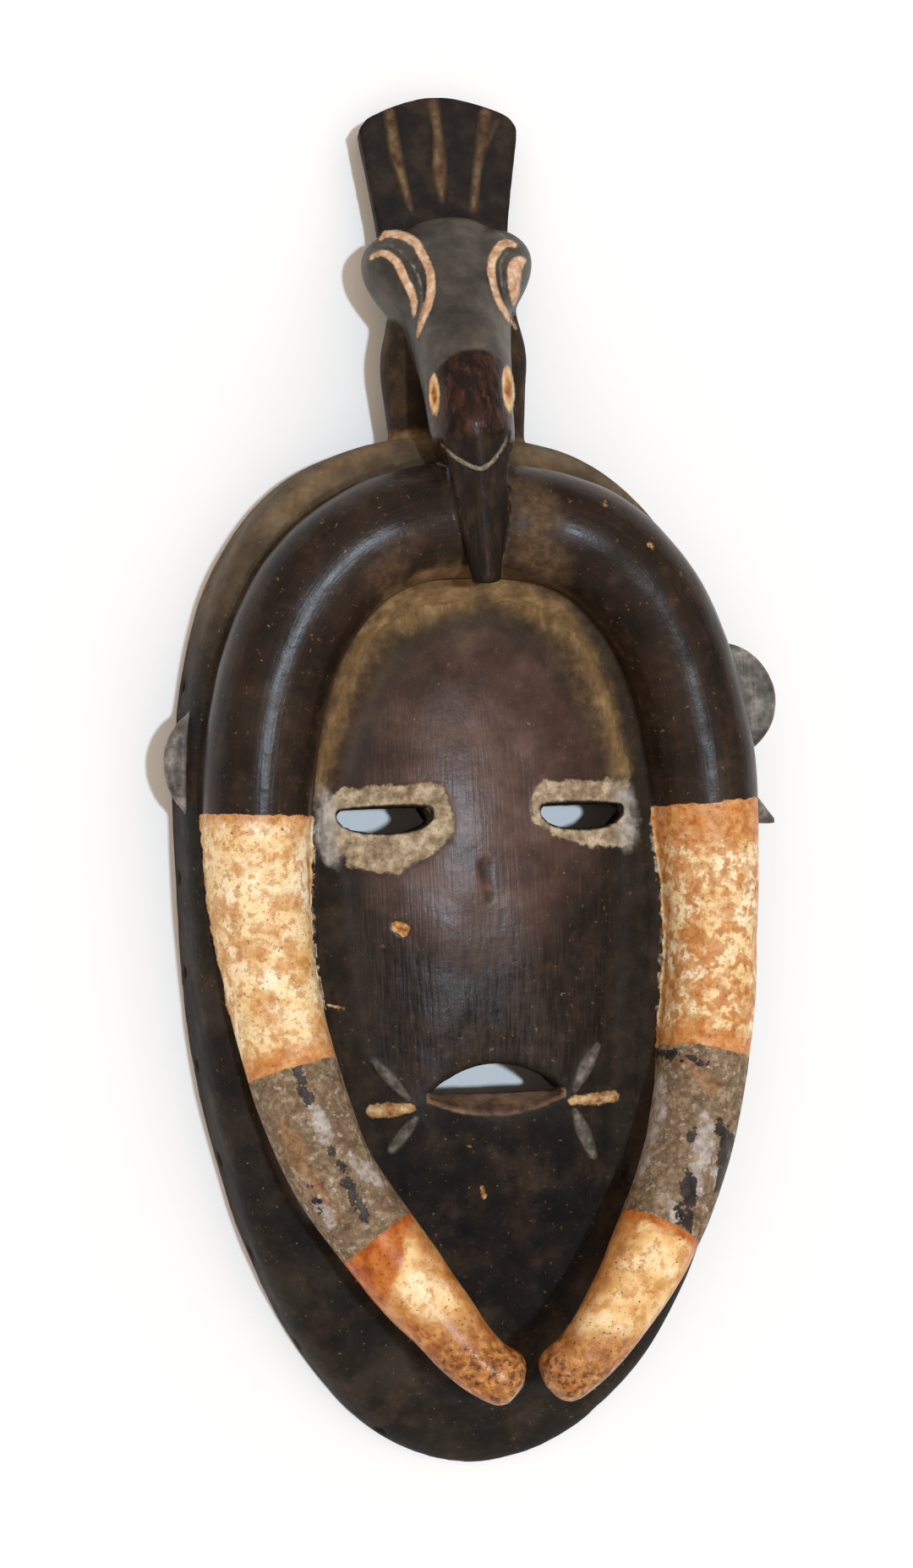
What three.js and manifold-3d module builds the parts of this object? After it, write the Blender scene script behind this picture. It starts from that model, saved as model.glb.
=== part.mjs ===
// A West African wooden face mask, carved from one block: an oval shell with a hollow back, two long horns
// that sweep round the face to the chin, small disc ears and a hornbill on the crown.
// Millimetres. +X is the viewer's right, +Y runs from the chin to the crest, +Z comes out of the face.
// The back of the rim lies in the plane Z = 0.

import * as THREE from 'three';
import { mergeVertices } from 'three/addons/utils/BufferGeometryUtils.js';
import Module from 'manifold-3d';

// Driving dimensions of the shell
const rimTuck = { above: 0.036, below: 0.026 };
const rim = { middleY: -33, halfWidth: 92, up: 144, down: 187, upPower: 2.7, downPower: 2.1, tuck: rimTuck };
const rimWidth = { side: 8, chin: 13 };
const shellHeight = { side: 41, chin: 36 };
const shellPower = { side: 11, chin: 2 };
const hollowHeight = { brow: 39, chin: 27 };
const hollowPower = 2.2;

// Driving dimensions of the face
const face = { middleY: -20, halfWidth: 54, up: 84, down: 178, upPower: 2, downPower: 2.4 };
const faceFoot = 16;
const faceHeight = { edge: 37, ridge: 51, mouth: 43, chin: 26 };
const facePower = { side: 1.8, chin: 4 };
const faceSlope = { side: 0.8, chin: 0.5 };

// Driving dimensions of the horns
const hornPath = { middleY: -33, halfWidth: 72.7, up: 115, down: 151, upPower: 2.2, downPower: 1.8 };
const browShift = 1.5;
const hornRadius = { root: 18, brow: 17.5, cheek: 14.6, wrist: 12.4, tip: 9.5 };
const hornRise = { lowY: -20, low: 44, root: 51, tip: 72, saddle: 4, saddleWidth: 34 };
const hornTipX = 9.4;
const hornOverlap = 0.12;

// Driving dimensions of the openings
const eye = { x: 31.8, y: -10, width: 28.5, height: 9.4 };
const mouth = { y: -99, width: 45, arch: 10.5, corner: 0.6, lip: 4.5, lipDepth: 7 };
const tieHole = { radius: 1.9, height: 8.5, count: 10, topY: 66, bottomY: -207 };

// Driving dimensions of the ears, the spur and the bird
const ear = { radius: 17.5, height: 24, thickness: 8, tilt: 14 };
const earPlaces = [{ x: -80.5, y: 11.5 }, { x: 85.5, y: 23.5 }];
const spur = { x: 86, y: -9, z: 20, length: 17.5, radius: 8.5, droop: 0.5 };
const crest = { bottomY: 168, cornerY: 212.5, topY: 220.3, bottomWidth: 40, topWidth: 51 };
const crestDepth = { back: 3, front: 18, bevel: 2.5 };
const crestGroove = { depth: 2.2, width: 5, spread: 0.34, startsAbove: 9, places: [-13, -2, 11] };
const head = [
  { y: 171, z: 21, halfWidth: 17, halfDepth: 12 },
  { y: 157, z: 28, halfWidth: 19, halfDepth: 16.5 },
  { y: 142, z: 37.5, halfWidth: 16.5, halfDepth: 18 },
  { y: 126, z: 47, halfWidth: 14.5, halfDepth: 18.5 },
  { y: 107, z: 56, halfWidth: 13, halfDepth: 15.5 },
];
const eyeLobe = { places: [-16.8, 13.4], y: 158, z: 28, halfWidth: 10.5, halfLength: 19, halfDepth: 14.5 };
const eyeLobeLie = { turn: -6, tilt: -26, taper: 0.36 };
const beak = { topY: 108, tipY: 61.5, topWidth: 22.5, tipWidth: 9, edge: 5.5, depth: 16 };
const beakRidge = { topZ: 70.5, tipZ: 73 };
const neck = { bottomY: 96, topY: 152, halfWidth: 22, swell: 1.8, back: 5, front: 29 };
const mark = { length: 15, width: 4.4, height: 1.3, gap: 2 };

// The carver's lean: the face and horns tip a little against the rim, and the bird turns a little
const lean = { slope: 0.03, fadeFromY: -140, fadeToY: -180 };
const birdTurn = { slope: 0.09, fromZ: 60 };

const wasm = await Module();
wasm.setup();

const rad = THREE.MathUtils.degToRad;
const smooth = THREE.MathUtils.smoothstep;
const mix = THREE.MathUtils.lerp;
const clamp = THREE.MathUtils.clamp;

// Corners closer than this are one corner
const cleanUp = 0.01;
// The length of a bar's rounded end, as a share of its radius
const endRound = 0.62;

// Solids and geometries
function toSolid(geometry) {
  const bare = geometry.clone();
  bare.deleteAttribute('normal');
  bare.deleteAttribute('uv');
  const merged = mergeVertices(bare, 1e-3);
  const positions = new Float32Array(merged.attributes.position.array);
  const triangles = [];
  const index = merged.index.array;
  let volume = 0;
  const corner = [new THREE.Vector3(), new THREE.Vector3(), new THREE.Vector3()];
  for (let i = 0; i < index.length; i += 3) {
    const ids = [index[i], index[i + 1], index[i + 2]];
    if (ids[0] === ids[1] || ids[1] === ids[2] || ids[2] === ids[0]) continue;
    corner.forEach((point, k) => point.fromArray(positions, 3 * ids[k]));
    volume += corner[0].dot(corner[1].clone().cross(corner[2]));
    triangles.push(...ids);
  }
  const facing = volume > 0 ? triangles : triangles.reverse();
  const mesh = new wasm.Mesh({ numProp: 3, vertProperties: positions, triVerts: new Uint32Array(facing) });
  return new wasm.Manifold(mesh);
}

function toGeometry(solid) {
  const mesh = solid.getMesh();
  const geometry = new THREE.BufferGeometry();
  geometry.setAttribute('position', new THREE.BufferAttribute(new Float32Array(mesh.vertProperties), 3));
  geometry.setIndex(new THREE.BufferAttribute(new Uint32Array(mesh.triVerts), 1));
  const merged = mergeVertices(geometry, cleanUp);
  const index = merged.index.array;
  const kept = [];
  for (let i = 0; i < index.length; i += 3) {
    const [a, b, c] = index.slice(i, i + 3);
    if (a !== b && b !== c && c !== a) kept.push(a, b, c);
  }
  merged.setIndex(kept);
  merged.computeVertexNormals();
  return merged;
}

function reshape(geometry, move) {
  const places = geometry.attributes.position;
  const point = new THREE.Vector3();
  for (let i = 0; i < places.count; i += 1) {
    move(point.fromBufferAttribute(places, i));
    places.setXYZ(i, point.x, point.y, point.z);
  }
  return geometry;
}

function leanFace(point) {
  const share = smooth(point.y, lean.fadeToY, lean.fadeFromY);
  point.y -= lean.slope * share * point.x;
}

function turnBird(point) {
  point.x += birdTurn.slope * (birdTurn.fromZ - point.z);
}

// An oval with its own length and fullness above and below its middle
function ovalReach(oval, angle) {
  const across = Math.abs(Math.cos(angle));
  const along = Math.abs(Math.sin(angle));
  const above = Math.sin(angle) > 0;
  const length = above ? oval.up : oval.down;
  const power = above ? oval.upPower : oval.downPower;
  const reach = ((across / oval.halfWidth) ** power + (along / length) ** power) ** (-1 / power);
  const tuck = above ? oval.tuck?.above : oval.tuck?.below;
  const right = Math.cos(angle) > 0;
  if (tuck && right) return reach * (1 - tuck * Math.abs(Math.sin(2 * angle)));
  return reach;
}

function ovalPoint(oval, angle, share = 1) {
  const reach = ovalReach(oval, angle) * share;
  return new THREE.Vector2(reach * Math.cos(angle), oval.middleY + reach * Math.sin(angle));
}

// How far down towards the chin a direction points: 0 at the sides and above, 1 straight down
function chinShare(oval, angle) {
  const down = (oval.middleY - ovalPoint(oval, angle).y) / oval.down;
  return Math.max(0, down);
}

// A rounded mound on an oval foot: place(angle, outward, upward) sets the height and the fullness
function mound(oval, spokes, rings, foot, place) {
  const profile = [new THREE.Vector2(0, -1)];
  for (let i = 0; i <= rings; i += 1) {
    const turn = (i / rings) * (Math.PI / 2);
    profile.push(new THREE.Vector2(i === rings ? 0 : Math.cos(turn), Math.sin(turn)));
  }
  const geometry = new THREE.LatheGeometry(profile, spokes);
  geometry.rotateX(Math.PI / 2);
  return reshape(geometry, (point) => {
    const angle = Math.atan2(point.y, point.x);
    const outward = Math.hypot(point.x, point.y);
    if (point.z < -0.5) {
      point.set(0, oval.middleY, foot);
      return;
    }
    const { share, height } = place(angle, Math.min(1, outward), Math.min(1, Math.max(0, point.z)));
    const flat = ovalPoint(oval, angle, share);
    point.set(flat.x, flat.y, height(flat));
  });
}

// The outside of the shell: steep side walls, easing into a low slope at the chin
function shellShape(angle) {
  const chin = chinShare(rim, angle) ** 1.5;
  return {
    power: mix(shellPower.side, shellPower.chin, chin),
    top: mix(shellHeight.side, shellHeight.chin, chin),
  };
}

function shellBody() {
  return mound(rim, 64, 9, 0, (angle, outward, upward) => {
    const { power, top } = shellShape(angle);
    return { share: outward ** (2 / power), height: () => top * upward ** (2 / power) };
  });
}

function shellSurface(x, y) {
  const angle = Math.atan2(y - rim.middleY, x);
  const share = Math.min(1, Math.hypot(x, y - rim.middleY) / ovalReach(rim, angle));
  const { power, top } = shellShape(angle);
  return top * (1 - share ** power) ** (1 / power);
}

// The hollow for the wearer's face, cut from behind
function hollow() {
  const inside = {
    ...rim,
    halfWidth: rim.halfWidth - rimWidth.side,
    up: rim.up - rimWidth.side,
    down: rim.down - rimWidth.chin,
  };
  return mound(inside, 44, 7, -1, (angle, outward, upward) => {
    const share = outward ** (2 / hollowPower);
    return {
      share,
      height: (flat) => {
        const down = Math.max(0, (inside.middleY - flat.y) / inside.down);
        const top = mix(hollowHeight.brow, hollowHeight.chin, down ** 1.4);
        return -1 + (top + 1) * upward ** (2 / hollowPower);
      },
    };
  });
}

// The face: a long shield with a soft ridge down the middle
function faceRidge(y) {
  const down = clamp((face.middleY - y) / face.down, 0, 1);
  const atMouth = (face.middleY - mouth.y) / face.down;
  if (down < atMouth) return mix(faceHeight.ridge, faceHeight.mouth, (down / atMouth) ** 1.3);
  return mix(faceHeight.mouth, faceHeight.chin, ((down - atMouth) / (1 - atMouth)) ** 1.7);
}

function faceHeightAt(angle, share, y) {
  const down = chinShare(face, angle) ** 2;
  const edge = mix(faceHeight.edge, faceFoot, down);
  const power = mix(facePower.side, facePower.chin, down);
  const slope = mix(faceSlope.side, faceSlope.chin, down);
  return edge + (faceRidge(y) - edge) * (1 - share ** power) ** slope;
}

function faceSurface(x, y) {
  const angle = Math.atan2(y - face.middleY, x);
  const share = Math.min(1, Math.hypot(x, y - face.middleY) / ovalReach(face, angle));
  return faceHeightAt(angle, share, y);
}

function faceBody() {
  return mound(face, 48, 8, faceFoot, (angle, outward, upward) => {
    return {
      share: outward,
      height: (flat) => (upward === 0 ? faceFoot : faceHeightAt(angle, outward, flat.y)),
    };
  });
}

// A horn: its middle line follows an oval from the brow round the cheek to the chin
function hornMiddle(share, side) {
  const lastAngle = -Math.acos(Math.pow(hornTipX / hornPath.halfWidth, hornPath.downPower / 2));
  const angle = mix(Math.PI / 2 + hornOverlap, lastAngle, share);
  const above = Math.sin(angle) > 0;
  const power = above ? hornPath.upPower : hornPath.downPower;
  const reach = above ? hornPath.up : hornPath.down;
  const x = hornPath.halfWidth * Math.sign(Math.cos(angle)) * Math.abs(Math.cos(angle)) ** (2 / power);
  const y = hornPath.middleY + reach * Math.sign(Math.sin(angle)) * Math.abs(Math.sin(angle)) ** (2 / power);
  const up = Math.max(0, (y - hornRise.lowY) / (hornPath.middleY + hornPath.up - hornRise.lowY));
  const down = Math.max(0, (hornRise.lowY - y) / (hornRise.lowY - hornPath.middleY + hornPath.down));
  const saddle = y > 0 ? hornRise.saddle * (1 - smooth(Math.abs(x), 0, hornRise.saddleWidth)) : 0;
  const brow = (hornRise.root - hornRise.low) * up ** 2 - saddle;
  const z = hornRise.low + brow + (hornRise.tip - hornRise.low) * down ** 1.7;
  return new THREE.Vector3(side * x + browShift * up, y, z);
}

function hornThickness(y) {
  if (y > 0) return mix(hornRadius.brow, hornRadius.root, Math.min(1, y / 80));
  if (y > -80) return mix(hornRadius.brow, hornRadius.cheek, Math.min(1, -y / 50));
  if (y > -150) return mix(hornRadius.cheek, hornRadius.wrist, (-y - 80) / 70);
  return mix(hornRadius.wrist, hornRadius.tip, Math.min(1, (-y - 150) / 30));
}

class Path extends THREE.Curve {
  constructor(place) {
    super();
    this.place = place;
    this.arcLengthDivisions = 400;
  }

  getPoint(share, target = new THREE.Vector3()) {
    return target.copy(this.place(share));
  }
}

// A bar with rounded ends along a path: size(middle, share) gives its half width and half depth
function bar(path, around, steps, size) {
  const geometry = new THREE.CapsuleGeometry(1, 1, 3, around, steps);
  geometry.rotateX(Math.PI);
  const up = new THREE.Vector3(0, 0, 1);
  return reshape(geometry, (point) => {
    const beyond = Math.sign(point.y) * Math.max(0, Math.abs(point.y) - 0.5);
    const share = clamp(0.5 - point.y, 0, 1);
    const middle = path.getPointAt(share);
    const along = path.getTangentAt(share);
    const sideways = new THREE.Vector3().crossVectors(along, up).normalize();
    const outward = new THREE.Vector3().crossVectors(sideways, along).normalize();
    const { halfWidth, halfDepth } = size(middle, share);
    const { x, z } = point;
    point.copy(middle).addScaledVector(sideways, x * halfWidth).addScaledVector(outward, z * halfDepth);
    point.addScaledVector(along, -beyond * Math.min(halfWidth, halfDepth) * endRound);
  });
}

function horn(side) {
  const path = new Path((share) => hornMiddle(share, side));
  const geometry = bar(path, 14, 27, (middle) => {
    const radius = hornThickness(middle.y);
    return { halfWidth: radius, halfDepth: radius };
  });
  return reshape(geometry, leanFace);
}

// Ears and spur
function earDisc(place) {
  const half = ear.thickness / 2;
  const edge = 0.4 * half;
  const profile = [[0, -half], [0.86, -half], [1, -edge], [1, edge], [0.9, half], [0.72, 0.72 * half]];
  const points = profile.map(([share, y]) => new THREE.Vector2(share * ear.radius, y));
  points.push(new THREE.Vector2(0, 0.45 * half));
  const geometry = new THREE.LatheGeometry(points, 20);
  geometry.rotateX(Math.PI / 2);
  geometry.rotateY(rad(Math.sign(place.x) * -ear.tilt));
  return geometry.translate(place.x, place.y, ear.height);
}

function spurThorn() {
  const geometry = new THREE.ConeGeometry(spur.radius, spur.length, 8);
  geometry.translate(0, spur.length / 2, 0);
  geometry.rotateZ(-Math.PI / 2);
  reshape(geometry, (point) => {
    point.y -= spur.droop * point.x;
  });
  return geometry.translate(spur.x, spur.y, spur.z);
}

// The bird
function ellipsoid(size, columns, rows) {
  const geometry = new THREE.SphereGeometry(1, columns, rows);
  geometry.rotateX(Math.PI / 2);
  return geometry.scale(size.halfWidth, size.halfLength, size.halfDepth);
}

function crestPlate() {
  const shape = new THREE.Shape();
  const bottom = crest.bottomWidth / 2;
  const top = crest.topWidth / 2;
  shape.moveTo(-bottom, crest.bottomY);
  shape.lineTo(bottom, crest.bottomY);
  shape.quadraticCurveTo(bottom + 1, mix(crest.bottomY, crest.cornerY, 0.5), top, crest.cornerY - 4);
  shape.quadraticCurveTo(top, crest.cornerY + 1, top - 5, crest.cornerY + 3);
  shape.quadraticCurveTo(0, 2 * crest.topY - crest.cornerY - 3, 5 - top, crest.cornerY + 3);
  shape.quadraticCurveTo(-top, crest.cornerY + 1, -top, crest.cornerY - 4);
  shape.quadraticCurveTo(-bottom - 1, mix(crest.bottomY, crest.cornerY, 0.5), -bottom, crest.bottomY);
  const geometry = new THREE.ExtrudeGeometry(shape, {
    depth: crestDepth.front - crestDepth.back - 2 * crestDepth.bevel,
    bevelThickness: crestDepth.bevel,
    bevelSize: crestDepth.bevel,
    bevelOffset: -crestDepth.bevel,
    bevelSegments: 2,
    curveSegments: 7,
  });
  return geometry.translate(0, 0, crestDepth.back + crestDepth.bevel);
}

function crestGrooves() {
  return crestGroove.places.map((x) => {
    const length = crest.topY - crest.bottomY;
    const cut = new THREE.CylinderGeometry(crestGroove.width / 1.6, crestGroove.width / 2.4, length, 8);
    cut.rotateZ((-x / length) * crestGroove.spread);
    const y = crest.bottomY + crestGroove.startsAbove + length / 2;
    return cut.translate(x, y, crestDepth.front + crestGroove.width / 2 - crestGroove.depth);
  });
}

function birdHead() {
  const middles = new THREE.CatmullRomCurve3(head.map(({ y, z }) => new THREE.Vector3(0, y, z)));
  const halves = head.map((part) => new THREE.Vector3(part.halfWidth, part.halfDepth, 0));
  const sizes = new THREE.CatmullRomCurve3(halves);
  const path = new Path((share) => middles.getPoint(share));
  const skull = bar(path, 18, 12, (middle, share) => {
    const size = sizes.getPoint(share);
    return { halfWidth: size.x, halfDepth: size.y };
  });
  const lobes = [-1, 1].map((side) => {
    const lobe = reshape(ellipsoid(eyeLobe, 14, 9), (point) => {
      point.x *= 1 + eyeLobeLie.taper * (point.y / eyeLobe.halfLength);
    });
    lobe.rotateX(rad(eyeLobeLie.tilt)).rotateZ(rad(side * eyeLobeLie.turn));
    return lobe.translate(eyeLobe.places[(side + 1) / 2], eyeLobe.y, eyeLobe.z);
  });
  return [skull, ...lobes];
}

// The beak: a long roof with its ridge in front, narrowing to a blunt tip
function birdBeak() {
  const half = 0.5;
  const section = new THREE.Shape();
  section.moveTo(-half, -beak.edge);
  section.lineTo(-0.8 * half, -beak.depth);
  section.lineTo(0.8 * half, -beak.depth);
  section.lineTo(half, -beak.edge);
  section.lineTo(0, 0);
  const geometry = new THREE.ExtrudeGeometry(section, { depth: 1, steps: 6, bevelEnabled: false });
  return reshape(geometry, (point) => {
    const down = point.z;
    const width = mix(beak.topWidth, beak.tipWidth, down ** 0.9);
    const flatter = mix(1, 0.75, down);
    const z = mix(beakRidge.topZ, beakRidge.tipZ, down) + point.y * flatter;
    point.set(point.x * width, mix(beak.topY, beak.tipY, down), z);
  });
}

function birdNeck() {
  const geometry = new THREE.BoxGeometry(2, 1, 1, 8, 8, 4);
  return reshape(geometry, (point) => {
    const up = point.y + 0.5;
    const half = neck.halfWidth + neck.swell * (smooth(up, 0.2, 0.7) - 1.8 * smooth(up, 0.7, 1));
    const corner = 1 - 0.16 * (2 * point.z) ** 4;
    const z = mix(neck.back, neck.front, point.z + 0.5) - 2.2 * point.x ** 4 * Math.sign(point.z);
    point.set(point.x * half * corner, mix(neck.bottomY, neck.topY, up), z + 6 * up ** 2);
  });
}

// Openings through the face
function eyeSlot(side) {
  const shape = new THREE.Shape();
  const half = eye.width / 2;
  const top = eye.height * 0.42;
  shape.moveTo(-half, 0);
  shape.quadraticCurveTo(-half, top, -half + 6, top);
  shape.lineTo(half - 6, top);
  shape.quadraticCurveTo(half, top, half, 0);
  shape.quadraticCurveTo(half * 0.62, top - eye.height, 0, top - eye.height);
  shape.quadraticCurveTo(-half * 0.62, top - eye.height, -half, 0);
  const geometry = new THREE.ExtrudeGeometry(shape, { depth: 60, bevelEnabled: false, curveSegments: 5 });
  geometry.translate(side * eye.x, eye.y, 10);
  return reshape(geometry, leanFace);
}

function mouthSlot() {
  const shape = new THREE.Shape();
  const half = mouth.width / 2;
  shape.moveTo(-half, -mouth.corner);
  shape.lineTo(-half, mouth.corner);
  shape.quadraticCurveTo(-half * 0.45, 0.95 * mouth.arch, 0, mouth.arch);
  shape.quadraticCurveTo(half * 0.45, 0.95 * mouth.arch, half, mouth.corner);
  shape.lineTo(half, -mouth.corner);
  const geometry = new THREE.ExtrudeGeometry(shape, { depth: 60, bevelEnabled: false, curveSegments: 6 });
  geometry.translate(0, mouth.y, 10);
  return reshape(geometry, leanFace);
}

// The lower lip is cut back in a slope that meets the slot inside the wood
function lowerLip() {
  const shape = new THREE.Shape();
  const half = 0.97 * mouth.width / 2;
  shape.moveTo(-half, 0);
  shape.lineTo(half, 0);
  shape.quadraticCurveTo(0, -2 * mouth.lip, -half, 0);
  const depth = 3 * mouth.lipDepth;
  const geometry = new THREE.ExtrudeGeometry(shape, { depth, bevelEnabled: false, curveSegments: 8 });
  reshape(geometry, (point) => {
    point.y *= 0.1 + point.z / mouth.lipDepth;
  });
  geometry.translate(0, mouth.y, faceHeight.mouth - mouth.lipDepth);
  return reshape(geometry, leanFace);
}

// The holes for the costume's cord, drilled through the wall just above the rim
function tieHoles() {
  const holes = [];
  for (const side of [-1, 1]) {
    for (let i = 0; i < tieHole.count; i += 1) {
      const y = mix(tieHole.topY, tieHole.bottomY, i / (tieHole.count - 1));
      const above = y > rim.middleY;
      const power = above ? rim.upPower : rim.downPower;
      const length = above ? rim.up : rim.down;
      const x = side * rim.halfWidth * (1 - Math.abs((y - rim.middleY) / length) ** power) ** (1 / power);
      const angle = Math.atan2(y - rim.middleY, x);
      const cut = new THREE.CylinderGeometry(tieHole.radius, tieHole.radius, 60, 7);
      cut.rotateZ(angle + Math.PI / 2);
      holes.push(cut.translate(x, y, tieHole.height));
    }
  }
  return holes;
}

// Three raised marks at each corner of the mouth
function mouthMarks() {
  const marks = [];
  for (const side of [-1, 1]) {
    for (const turn of [52, 0, -52]) {
      const angle = rad(turn);
      const out = mark.gap + mark.length / 2;
      const x = side * (mouth.width / 2 + out * Math.cos(angle));
      const y = mouth.y - 1 + out * Math.sin(angle);
      const size = { halfWidth: mark.length / 2, halfLength: mark.width / 2, halfDepth: mark.height };
      const leaf = ellipsoid(size, 8, 6).rotateZ(side * angle).translate(x, y, 0);
      marks.push(reshape(leaf, (point) => {
        const surface = Math.max(faceSurface(point.x, point.y), shellSurface(point.x, point.y));
        point.z += surface;
      }));
    }
  }
  return marks.map((leaf) => reshape(leaf, leanFace));
}

// The whole carving
function carve() {
  const front = [reshape(faceBody(), leanFace), horn(-1), horn(1), ...mouthMarks()];
  const sides = [...earPlaces.map(earDisc), spurThorn()];
  let birdSolid = toSolid(crestPlate());
  for (const groove of crestGrooves()) birdSolid = birdSolid.subtract(toSolid(groove));
  const birdRest = [...birdHead(), birdBeak(), birdNeck()];
  for (const geometry of birdRest) birdSolid = birdSolid.add(toSolid(geometry));
  const bird = reshape(toGeometry(birdSolid), turnBird);
  let body = toSolid(shellBody());
  for (const geometry of [...front, ...sides, bird]) body = body.add(toSolid(geometry));
  const cuts = [hollow(), eyeSlot(-1), eyeSlot(1), mouthSlot(), lowerLip(), ...tieHoles()];
  for (const geometry of cuts) body = body.subtract(toSolid(geometry));
  return body;
}

const wood = new THREE.MeshStandardMaterial({ color: 0x3a2e27, roughness: 0.5, metalness: 0 });
const mask = new THREE.Mesh(toGeometry(carve()), wood);
mask.name = 'mask';

// The origin is the middle of the box round the mask, on the plane that it lies on
mask.geometry.computeBoundingBox();
const box = mask.geometry.boundingBox;
const middle = box.getCenter(new THREE.Vector3());
mask.position.set(-middle.x, -middle.y, -box.min.z);

const group = new THREE.Group();
group.add(mask);
export default group;
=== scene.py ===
import math

import bmesh
import bpy
import numpy as np
from mathutils import Matrix, Vector, noise
from mathutils.bvhtree import BVHTree


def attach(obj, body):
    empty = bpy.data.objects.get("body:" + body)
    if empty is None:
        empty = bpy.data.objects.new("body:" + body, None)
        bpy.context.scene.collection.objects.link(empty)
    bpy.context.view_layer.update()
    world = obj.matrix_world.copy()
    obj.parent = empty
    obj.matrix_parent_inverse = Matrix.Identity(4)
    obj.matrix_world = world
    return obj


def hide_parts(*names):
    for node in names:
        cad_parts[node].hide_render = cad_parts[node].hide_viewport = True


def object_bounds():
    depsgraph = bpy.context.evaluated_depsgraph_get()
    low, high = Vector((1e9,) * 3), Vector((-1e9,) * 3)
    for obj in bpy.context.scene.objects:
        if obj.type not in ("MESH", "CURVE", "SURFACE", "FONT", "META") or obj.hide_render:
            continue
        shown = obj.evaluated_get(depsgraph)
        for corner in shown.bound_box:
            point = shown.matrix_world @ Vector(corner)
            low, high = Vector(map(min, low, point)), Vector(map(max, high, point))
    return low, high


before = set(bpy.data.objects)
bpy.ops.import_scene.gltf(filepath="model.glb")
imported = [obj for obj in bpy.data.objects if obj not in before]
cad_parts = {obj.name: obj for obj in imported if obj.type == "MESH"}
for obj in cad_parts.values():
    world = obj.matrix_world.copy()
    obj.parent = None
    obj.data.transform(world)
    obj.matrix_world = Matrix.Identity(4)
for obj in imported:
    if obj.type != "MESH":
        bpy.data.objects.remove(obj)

cad_box = [list(corner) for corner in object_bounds()]


# The view: a camera straight over the mask as it lies, 13 degrees round to its left, with the
# mask's top leaning a little to the left in the picture. Lengths are millimetres in the carver's
# layout, whose zero is the middle of the face at the height of the eyes, and go to metres at the end.
layout_middle = Vector((2.816, 0.101, 0))
view_aim = Vector((-3.68, 0, 25))
view_turn = math.radians(13)
view_roll = math.radians(2.97)
view_distance = 1300
view_lens = 93.73


def in_metres(point):
    return (Vector(point) - layout_middle) / 1000


look = Vector((math.sin(view_turn), 0, -math.cos(view_turn)))
right = Vector((math.cos(view_turn), 0, math.sin(view_turn)))
up = Vector((0, 1, 0))
camera_axes = Matrix((
    right * math.cos(view_roll) - up * math.sin(view_roll),
    right * math.sin(view_roll) + up * math.cos(view_roll),
    -look,
)).transposed()
camera_data = bpy.data.cameras.new("camera")
camera_data.lens = view_lens
camera = bpy.data.objects.new("camera", camera_data)
camera.matrix_world = Matrix.Translation(in_metres(view_aim - view_distance * look)) @ camera_axes.to_4x4()
bpy.context.scene.collection.objects.link(camera)
bpy.context.scene.camera = camera


# The shell: an oval bowl of wood with steep side walls and a low slope at the chin. It is hewn first,
# and its back lies flat on the rim.
rim = dict(middle=-33, half_width=92, up=144, down=187, up_power=2.7, down_power=2.1,
           tuck_up=0.036, tuck_down=0.026)
shell_height = dict(side=41, chin=36)
shell_power = dict(side=11, chin=2)
chin_onset = 1.5


def mix(low, high, share):
    return low + (high - low) * share


def smooth(value, low, high):
    share = min(1, max(0, (value - low) / (high - low)))
    return share * share * (3 - 2 * share)


def oval_reach(oval, angle):
    above = math.sin(angle) > 0
    length = oval["up"] if above else oval["down"]
    power = oval["up_power"] if above else oval["down_power"]
    across = abs(math.cos(angle)) / oval["half_width"]
    along = abs(math.sin(angle)) / length
    reach = (across ** power + along ** power) ** (-1 / power)
    if math.cos(angle) > 0:
        reach *= 1 - oval.get("tuck_up" if above else "tuck_down", 0) * abs(math.sin(2 * angle))
    return reach


def chin_share(oval, angle):
    return max(0, -oval_reach(oval, angle) * math.sin(angle) / oval["down"])


def ball(around, rings):
    shape = bmesh.new()
    bmesh.ops.create_uvsphere(shape, u_segments=around, v_segments=rings, radius=1)
    return shape


def pulled(shape, move):
    for vert in shape.verts:
        vert.co = move(vert.co.copy())
    return shape


def mound(oval, around, rings, foot, place):
    def raise_point(point):
        angle = math.atan2(point.y, point.x)
        outward = min(1, math.hypot(point.x, point.y))
        share, height = outward, lambda x, y: foot
        if point.z > 1e-6:
            share, height = place(angle, outward, point.z)
        reach = oval_reach(oval, angle) * share
        x, y = reach * math.cos(angle), oval["middle"] + reach * math.sin(angle)
        return Vector((x, y, height(x, y)))
    return pulled(ball(around, rings), raise_point)


def form(name, shape):
    bmesh.ops.remove_doubles(shape, verts=shape.verts, dist=1e-4)
    bmesh.ops.recalc_face_normals(shape, faces=shape.faces)
    bmesh.ops.translate(shape, verts=shape.verts, vec=-layout_middle)
    bmesh.ops.scale(shape, verts=shape.verts, vec=(0.001, 0.001, 0.001))
    mesh = bpy.data.meshes.new(name)
    shape.to_mesh(mesh)
    shape.free()
    made = bpy.data.objects.new(name, mesh)
    bpy.context.scene.collection.objects.link(made)
    return made


def shell_shape(angle):
    chin = chin_share(rim, angle) ** chin_onset
    power = mix(shell_power["side"], shell_power["chin"], chin)
    return power, mix(shell_height["side"], shell_height["chin"], chin)


def shell_place(angle, outward, upward):
    power, top = shell_shape(angle)
    return outward ** (2 / power), lambda x, y: top * upward ** (2 / power)


shell = form("shell", mound(rim, 192, 96, 0, shell_place))


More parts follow.
